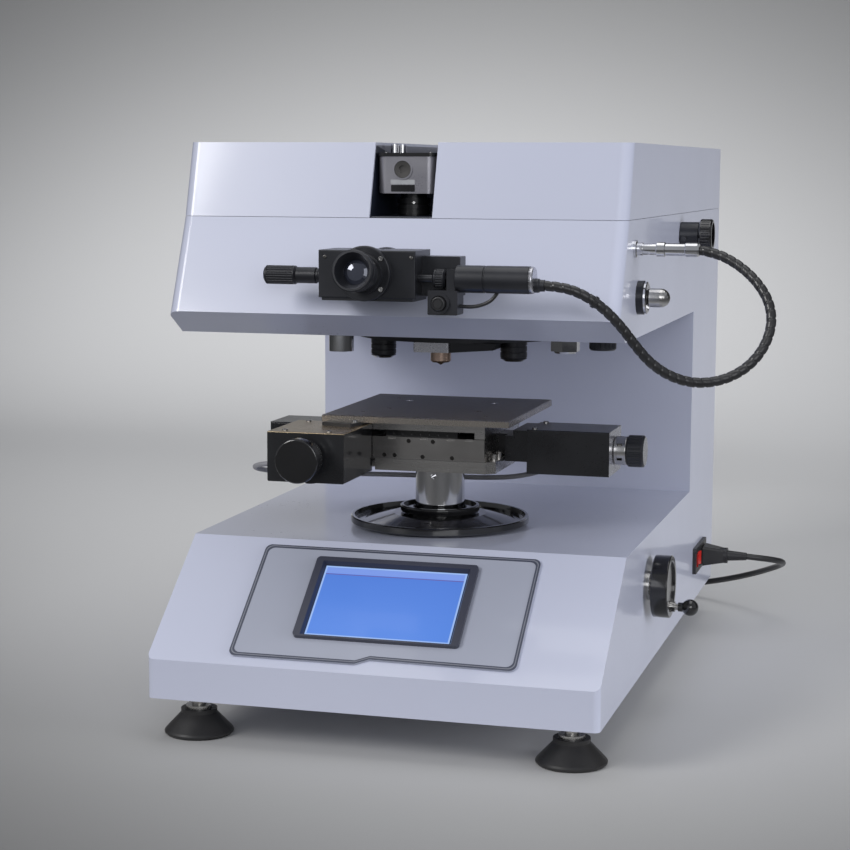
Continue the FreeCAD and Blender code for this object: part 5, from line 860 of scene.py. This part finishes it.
@dataclass
class LoadingHead(Assembly):
    """The turret, the load train and the optics, with the fittings on the head's side."""

    turret_shaft_z: float = 289.2
    objective_nose_z: float = 266.0
    indenter_shaft_z: float = 280.0
    selector_shaft: Point = (0.0, 131.0, 361.0)
    selector_radius: float = 4.3
    loom_socket: Point = (0.0, -88.6, 357.5)
    socket_radius: float = 7.0
    path_knob_x: float = 166.5
    clamp: Spans = ((Axis.X, -19.9, 9.1), (Axis.Y, -10.7, 10.7), (Axis.Z, 0.0, 280.0))
    under_head: Spans = ((Axis.X, -FAR, 120.0), (Axis.Y, -FAR, -40.0), (Axis.Z, 0.0, 293.5))
    lock_knob: Spans = ((Axis.X, 171.2, FAR), (Axis.Y, -90.0, -50.0), (Axis.Z, 0.0, 340.0))

    def dress(self) -> None:
        """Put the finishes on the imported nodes."""
        self.shop.repaint("turret", ANODISED, (LIGHT_CAP, within(self.clamp)),
                          (STEEL, beyond(Axis.Z, self.turret_shaft_z)))
        self.shop.repaint("objectives", ANODISED, (NICKEL, beyond(Axis.Z, self.objective_nose_z, -1)))
        self.shop.repaint("indenter", COPPERY, (STEEL, beyond(Axis.Z, self.indenter_shaft_z)))
        self.shop.paint(STEEL, "turret_pinion", "load_lever")
        self.shop.paint(BRONZE, "deadweights")
        self.shop.repaint("force_selector", GLOSS_BLACK,
                          (STEEL, inside_ring(self.selector_shaft, Axis.X, self.selector_radius)))
        self.shop.repaint("head_fittings", ANODISED, (CHROME, within(self.under_head)),
                          (CHROME, inside_ring(self.loom_socket, Axis.X, self.socket_radius)),
                          (CHROME, within(self.lock_knob)))
        self.shop.paint(ANODISED, "optics_block")
        self.shop.repaint("path_slide", STEEL, (NICKEL, beyond(Axis.X, self.path_knob_x)))


# Lines that the leads follow, in millimetres
ROUTE_LOOM: list[Point] = [
    (121.0, -179.0, 335.5), (131.5, -178.8, 334.9), (142.5, -177.2, 331.9), (153.0, -173.9, 326.0),
    (163.0, -169.2, 317.4), (172.0, -163.5, 306.5), (180.0, -158.5, 294.5), (189.0, -152.5, 283.0),
    (200.0, -146.5, 274.5), (213.0, -140.5, 269.3), (226.0, -135.0, 268.6), (239.0, -129.5, 271.6),
    (251.0, -124.5, 278.6), (260.0, -119.5, 289.0), (265.0, -114.5, 301.0), (266.0, -110.0, 313.0),
    (262.5, -105.0, 324.5), (255.5, -100.0, 334.5), (246.5, -95.5, 343.0), (236.0, -92.0, 350.0),
    (224.5, -89.6, 355.2), (212.0, -88.6, 357.5)]
ROUTE_BUTTON: list[Point] = [
    (62.5, -180.0, 320.5), (69.0, -180.0, 320.0), (76.0, -179.8, 321.0), (82.5, -179.3, 323.6),
    (86.4, -179.0, 327.2), (88.0, -179.0, 329.9)]
ROUTE_STAGE: list[Point] = [
    (-133.0, 0.0, 178.5), (-142.5, 0.3, 178.0), (-153.0, 3.5, 176.2), (-160.0, 12.0, 173.0),
    (-159.8, 23.0, 169.6), (-151.5, 31.5, 167.2), (-138.0, 36.5, 166.1), (-119.0, 39.5, 166.0),
    (-97.0, 42.5, 166.0), (-70.0, 46.5, 166.0), (-40.0, 51.0, 166.0), (-10.0, 52.8, 166.0),
    (20.0, 52.5, 166.2), (46.0, 51.5, 168.0), (64.0, 50.2, 172.0), (78.0, 48.0, 177.5),
    (88.5, 43.5, 182.0), (94.5, 36.0, 185.8), (97.0, 29.0, 187.6)]
ROUTE_MAINS: list[Point] = [
    (208.0, 287.0, 68.5), (218.8, 287.8, 67.7), (228.4, 292.9, 66.0), (235.2, 301.3, 63.5),
    (238.2, 311.6, 60.4), (237.1, 322.3, 56.9), (232.3, 334.1, 52.5), (222.5, 349.0, 46.2),
    (209.5, 366.0, 38.8), (192.5, 384.0, 30.6), (173.0, 401.0, 22.8), (151.5, 417.0, 15.6),
    (128.8, 430.6, 9.9), (105.2, 439.9, 5.9), (84.0, 444.8, 3.7), (65.0, 446.6, 3.1),
    (49.0, 446.2, 2.9)]
PLUG_WAY: list[Point] = [(-2.6, 414.5, 10.0), (-3.0, 406.0, 7.5)]


@dataclass
class Cord:
    """One free cord that follows a smooth line through its route."""

    shop: Workshop
    name: str
    node: str
    route: Sequence[Point]
    diameter: float
    body: Body
    finish: Finish

    def curve(self, bevel: bool) -> bpy.types.Object:
        """Return the cord's spline, with or without its round section."""
        data = bpy.data.curves.new(self.name, "CURVE")
        data.dimensions = "3D"
        data.resolution_u = 10
        data.bevel_depth = self.diameter / 2 * MM if bevel else 0.0
        data.bevel_resolution = 4
        spline = data.splines.new("NURBS")
        spline.points.add(len(self.route) - 1)
        for point, place in zip(spline.points, self.route):
            point.co = (*mm(*place), 1.0)
        spline.use_endpoint_u = True
        spline.order_u = 3
        made = bpy.data.objects.new(self.name, data)
        bpy.context.scene.collection.objects.link(made)
        return made

    def line(self) -> list[Vector]:
        """Return points read from the cord's spline, evenly spaced."""
        made = self.curve(False)
        bpy.context.view_layer.update()
        mesh = bpy.data.meshes.new_from_object(made)
        points = [vertex.co.copy() for vertex in mesh.vertices]
        bpy.data.meshes.remove(mesh)
        bpy.data.curves.remove(made.data)
        return points

    def build(self) -> bpy.types.Object:
        """Make the cord as a round curve."""
        made = self.curve(True)
        made.data.materials.append(self.shop.palette[self.finish])
        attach(made, self.body.value)
        return made


def length_of(points: Sequence[Vector]) -> float:
    """Return the length of a line through points."""
    return sum((b - a).length for a, b in zip(points, points[1:]))


def resampled(points: Sequence[Vector], step: float) -> list[Vector]:
    """Return points at an even step along a line."""
    total = length_of(points)
    count = max(2, round(total / step))
    result, index, walked = [points[0].copy()], 0, 0.0
    for k in range(1, count):
        target = total * k / count
        while walked + (points[index + 1] - points[index]).length < target:
            walked += (points[index + 1] - points[index]).length
            index += 1
        piece = points[index + 1] - points[index]
        result.append(points[index] + piece * ((target - walked) / piece.length))
    result.append(points[-1].copy())
    return result


def wrapped_tube(shape: Mesh, line: Sequence[Vector], radius: float, pitch: float,
                 depth: float, sides: int = 20, groove: float = 0.16) -> None:
    """Roll a grid into a tube with a spiral groove (metres).

    Args:
        shape: The mesh that gets the tube.
        line: The tube's middle line.
        radius: Its radius beside the groove.
        pitch: The groove's lead.
        depth: The groove's depth.
        sides: Faces round the tube.
        groove: The groove's half width as a share of its lead.
    """
    last = len(line) - 1
    normal = (line[1] - line[0]).orthogonal().normalized()
    walked = 0.0
    stations: list[tuple[Vector, Vector, Vector, float]] = []
    for i, point in enumerate(line):
        ahead = (line[min(i + 1, last)] - line[max(i - 1, 0)]).normalized()
        normal = (normal - ahead * normal.dot(ahead)).normalized()
        walked += (point - line[max(i - 1, 0)]).length
        stations.append((point, normal, ahead.cross(normal), walked))
    sheet = bmesh.ops.create_grid(shape, x_segments=last, y_segments=sides, size=0.5)["verts"]
    for vert in sheet:
        point, normal, side, walked = stations[round((vert.co.x + 0.5) * last)]
        share = round((vert.co.y + 0.5) * sides) / sides
        phase = (share - walked / pitch) % 1.0
        reach = radius - depth * max(0.0, 1.0 - abs(phase - 0.5) / groove)
        angle = 2 * math.pi * share
        vert.co = point + (normal * math.cos(angle) + side * math.sin(angle)) * reach
    bmesh.ops.remove_doubles(shape, verts=sheet, dist=1e-6)
    bmesh.ops.holes_fill(shape, edges=[edge for edge in shape.edges if edge.is_boundary], sides=sides)


@dataclass(frozen=True)
class Coil:
    """The mains lead's turns, which lie as seven cords do in one round bundle (millimetres, degrees)."""

    diameter: float = 5.5
    centre: Point = (30.0, 414.0, 7.5)
    radius: float = 33.0
    start: float = 84.0
    end: float = 160.0 + 360.0 * 6
    steps: int = 14
    steps_across: int = 4
    closeness: float = 0.98
    places: tuple[Pair, ...] = ((0.5, -0.866), (-0.5, -0.866), (-1.0, 0.0), (0.0, 0.0), (1.0, 0.0),
                                (0.5, 0.866), (-0.5, 0.866))

    def route(self) -> list[Point]:
        """Return the points of the turns; each turn moves to the next place near its end."""
        near = self.diameter * self.closeness
        points: list[Point] = []
        for k in range(round((self.end - self.start) / 360.0 * self.steps) + 1):
            turn, along = divmod(k, self.steps)
            here, after = self.places[turn], self.places[min(turn + 1, len(self.places) - 1)]
            share = max(0.0, along - (self.steps - self.steps_across)) / self.steps_across
            reach = self.radius + (here[0] + (after[0] - here[0]) * share) * near
            high = (here[1] + (after[1] - here[1]) * share) * near
            angle = math.radians(self.start + 360.0 * k / self.steps)
            points.append((self.centre[0] + reach * math.cos(angle), self.centre[1] + reach * math.sin(angle),
                           self.centre[2] + high))
        return points


@dataclass
class Cords:
    """All the leads of the instrument."""

    shop: Workshop
    loom_step: float = 0.0006
    loom_radius: float = 0.0035
    loom_pitch: float = 0.0065
    loom_groove: float = 0.0006
    tie_at: float = 0.036

    def declare(self, piece: bpy.types.Object, cord: Cord, length: float,
                with_pieces: Sequence[bpy.types.Object]) -> None:
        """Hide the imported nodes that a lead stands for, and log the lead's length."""
        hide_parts(cord.node, *(["mains_coil"] if cord.node == "mains_lead" else []))
        "grey_cable" if cord.node == "stage_lead" else "cable"
        tuple(mm(*cord.route[0]))
        cord.diameter * MM
        log.info("%s: %.3f m", cord.name, length)

    def build(self) -> None:
        """Make every lead."""
        self.loom()
        for name, node, route, diameter, body, finish in (
                ("button_wire", "button_lead", ROUTE_BUTTON, 2.6, Body.HOUSING, CABLE),
                ("stage_wire", "stage_lead", ROUTE_STAGE, 4.0, Body.Y_SLIDE, GREY_CABLE)):
            cord = Cord(self.shop, name, node, route, diameter, body, finish)
            length = length_of(cord.line())
            self.declare(cord.build(), cord, max(length, 0.03), [])
        coil = Coil()
        mains = Cord(self.shop, "mains_cord", "mains_lead", [*ROUTE_MAINS, *coil.route(), *PLUG_WAY],
                     coil.diameter, Body.HOUSING, CABLE)
        length = length_of(mains.line())
        self.declare(mains.build(), mains, length,
                     [self.shop.nodes["inlet_plug"], self.shop.nodes["wall_plug"]])

    def loom(self) -> None:
        """Make the wrapped loom and its tie."""
        loom = Cord(self.shop, "loom_wrapped", "loom", ROUTE_LOOM, 7.0, Body.HOUSING, CABLE)
        line = resampled(loom.line(), self.loom_step)
        shape = bmesh.new()
        wrapped_tube(shape, line, self.loom_radius, self.loom_pitch, self.loom_groove)
        piece = self.shop.piece("loom_wrapped", shape, CABLE, "cable", smooth=60.0)
        self.declare(piece, loom, length_of(line), [self.shop.nodes["loom_plug"]])
        self.tie(line)

    def tie(self, line: Sequence[Vector]) -> None:
        """Make the small tie round the loom near its start."""
        at = min(range(len(line)), key=lambda i: abs(length_of(line[:i + 1]) - self.tie_at))
        band = placed(line[at], (line[at + 1] - line[at - 1]).normalized())
        shape = bmesh.new()
        profile = [(3.0, -1.3), (3.6, -1.3), (4.3, -1.1), (4.3, 1.1), (3.6, 1.3), (3.0, 1.3), (3.0, -1.3)]
        lathe(shape, profile, band, 24)
        knot = band @ Matrix.Translation(mm(0, -4.6, 0))
        lathe(shape, [(0.0, -1.6), (1.3, -1.4), (1.3, 1.4), (0.0, 1.6)], knot, 8)
        self.shop.piece("loom_tie", shape, CABLE, "cable")


@dataclass(frozen=True)
class Lamp:
    """One soft studio lamp, aimed at a point (metres, watts)."""

    name: str
    place: Point
    aim: Point
    size: tuple[float, float]
    power: float
    colour: Colour = (1.0, 1.0, 1.0)
    mirrored: bool = True

    def build(self) -> None:
        """Make the lamp."""
        data = bpy.data.lights.new(self.name, "AREA")
        data.shape = "RECTANGLE"
        data.size, data.size_y = self.size
        data.energy = self.power
        data.color = self.colour
        lamp = bpy.data.objects.new(self.name, data)
        lamp.location = self.place
        lamp.visible_glossy = self.mirrored
        direction = Vector(self.aim) - Vector(self.place)
        lamp.rotation_euler = direction.to_track_quat("-Z", "Y").to_euler()
        bpy.context.scene.collection.objects.link(lamp)


LAMPS = [
    Lamp("key_left", (-1.9, -2.4, 1.9), (0.0, 0.0, 0.2), (1.2, 1.2), 54.0, (1.0, 0.99, 0.98)),
    Lamp("front_fill", (0.9, -2.2, 0.9), (0.0, 0.0, 0.25), (1.4, 1.0), 11.5, (0.97, 0.98, 1.0)),
    Lamp("top", (0.1, 0.1, 1.9), (0.0, 0.1, 0.2), (1.6, 1.4), 9.0),
    Lamp("right_side", (1.9, -0.2, 0.4), (0.1, 0.1, 0.15), (0.9, 0.8), 20.0, (0.96, 0.97, 1.0), False),
    Lamp("backdrop_glow", (-0.7, 1.5, 1.0), (-0.75, 3.2, 0.7), (1.6, 1.2), 4.0),
]


@dataclass(frozen=True)
class Backdrop:
    """The floor and backdrop as one sheet with a long soft curve, in metres.

    Its grey is a painted pool of light: lightest behind the object, with painted shade that deepens with the
    angle from the camera's place.
    """

    half_width: float = 14.0
    front: float = -3.5
    bend: float = 1.2
    radius: float = 1.4
    top: float = 4.5
    steps: int = 16
    eye_distance: float = 1.5
    nearest: float = 0.3
    eye_side: float = 0.28
    eye_height: float = 0.414
    eye_drop: float = 0.134
    squeeze: float = 0.55
    painted_shade_falloff: float = 0.0016
    # Greys of the painted pool of light behind the object and of the painted shade it falls off to
    light: Colour = (0.77, 0.77, 0.77)
    dark: Colour = (0.06, 0.06, 0.06)

    def profile(self) -> list[Pair]:
        """Return the sheet's section in y and z."""
        turns = [math.pi / 2 * i / self.steps for i in range(1, self.steps + 1)]
        curve = [(self.bend + self.radius * math.sin(turn), self.radius - self.radius * math.cos(turn))
                 for turn in turns]
        return [(self.front, 0.0), (self.bend, 0.0), *curve, (self.bend + self.radius, self.top)]

    def grey(self) -> bpy.types.Material:
        """Return the sheet's material, with the painted pool of light and painted shade in its colour."""
        graph = Graph("studio_grey_painted_light")
        x, y, z = graph.axes()
        grain = graph.noise(30.0, 3.0)
        # Painted pool of light: the grey is painted darker with the angle away from the camera's line of sight
        deep = (y + self.eye_distance).most(self.nearest)
        side = (x + y * self.eye_side) / deep * self.squeeze
        rise = (z - self.eye_height) / deep + self.eye_drop
        apart = side * side + rise * rise
        square = apart * apart
        colour = graph.mix(square / (square + self.painted_shade_falloff), self.light, self.dark)
        return graph.finish(Base_Color=colour, Roughness=grain * 0.1 + 0.8)

    def build(self) -> None:
        """Make the sheet."""
        shape = bmesh.new()
        line = [shape.verts.new((-self.half_width, y, z)) for y, z in self.profile()]
        edges = [shape.edges.new(pair) for pair in zip(line, line[1:])]
        made = bmesh.ops.extrude_edge_only(shape, edges=edges)["geom"]
        bmesh.ops.translate(shape, verts=verts_of(made), vec=(2 * self.half_width, 0.0, 0.0))
        mesh = bpy.data.meshes.new("studio_sweep")
        shape.to_mesh(mesh)
        shape.free()
        mesh.shade_smooth()
        mesh.materials.append(self.grey())
        sweep = bpy.data.objects.new("studio_sweep", mesh)
        bpy.context.scene.collection.objects.link(sweep)


@dataclass(frozen=True)
class Viewpoint:
    """The photograph's fitted camera: angles in degrees, place in millimetres, the rest in pixels."""

    yaw: float = 15.647
    pitch: float = 7.677
    roll: float = 0.243
    place: Point = (410.7, -1510.9, 413.8)
    focal: float = 2018.4
    shift: float = 15.0
    frame: float = 850.0
    sensor: float = 36.0

    def build(self) -> None:
        """Make the camera."""
        yaw, pitch, roll = math.radians(self.yaw), math.radians(self.pitch), math.radians(self.roll)
        ahead = Vector((-math.sin(yaw) * math.cos(pitch), math.cos(yaw) * math.cos(pitch), -math.sin(pitch)))
        level = Vector((math.cos(yaw), math.sin(yaw), 0.0))
        upright = level.cross(ahead)
        right = level * math.cos(roll) + upright * math.sin(roll)
        up = upright * math.cos(roll) - level * math.sin(roll)
        data = bpy.data.cameras.new("camera")
        data.sensor_width = self.sensor
        data.lens = self.sensor * self.focal / self.frame
        data.shift_y = self.shift / self.frame
        camera = bpy.data.objects.new("camera", data)
        rotation = Matrix((right, up, -ahead)).transposed().to_4x4()
        camera.matrix_world = Matrix.Translation(mm(*self.place)) @ rotation
        bpy.context.scene.collection.objects.link(camera)
        bpy.context.scene.camera = camera


@dataclass(frozen=True)
class Studio:
    """Backdrop, lamps, surrounding light and camera."""

    surround: Colour = (0.62, 0.64, 0.68)
    surround_strength: float = 0.55

    def build(self) -> None:
        """Make the studio."""
        Backdrop().build()
        for lamp in LAMPS:
            lamp.build()
        world = bpy.data.worlds.new("studio_world")
        world.use_nodes = True
        background = world.node_tree.nodes["Background"]
        background.inputs[0].default_value = (*self.surround, 1.0)
        background.inputs[1].default_value = self.surround_strength
        bpy.context.scene.world = world
        view = bpy.context.scene.view_settings
        view.view_transform = "Standard"
        view.look = "None"
        Viewpoint().build()


def main() -> None:
    """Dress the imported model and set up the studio."""
    logging.basicConfig(level=logging.INFO, format="%(name)s: %(message)s")
    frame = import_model()
    shop = Workshop(frame, Palette())
    Studio().build()
    Cords(shop).build()
    for assembly in (Housing, ControlPanel, MeasuringEyepiece, SlotCamera, Elevator, CrossStage, LoadingHead):
        assembly(shop).build()


if __name__ == "__main__":
    main()
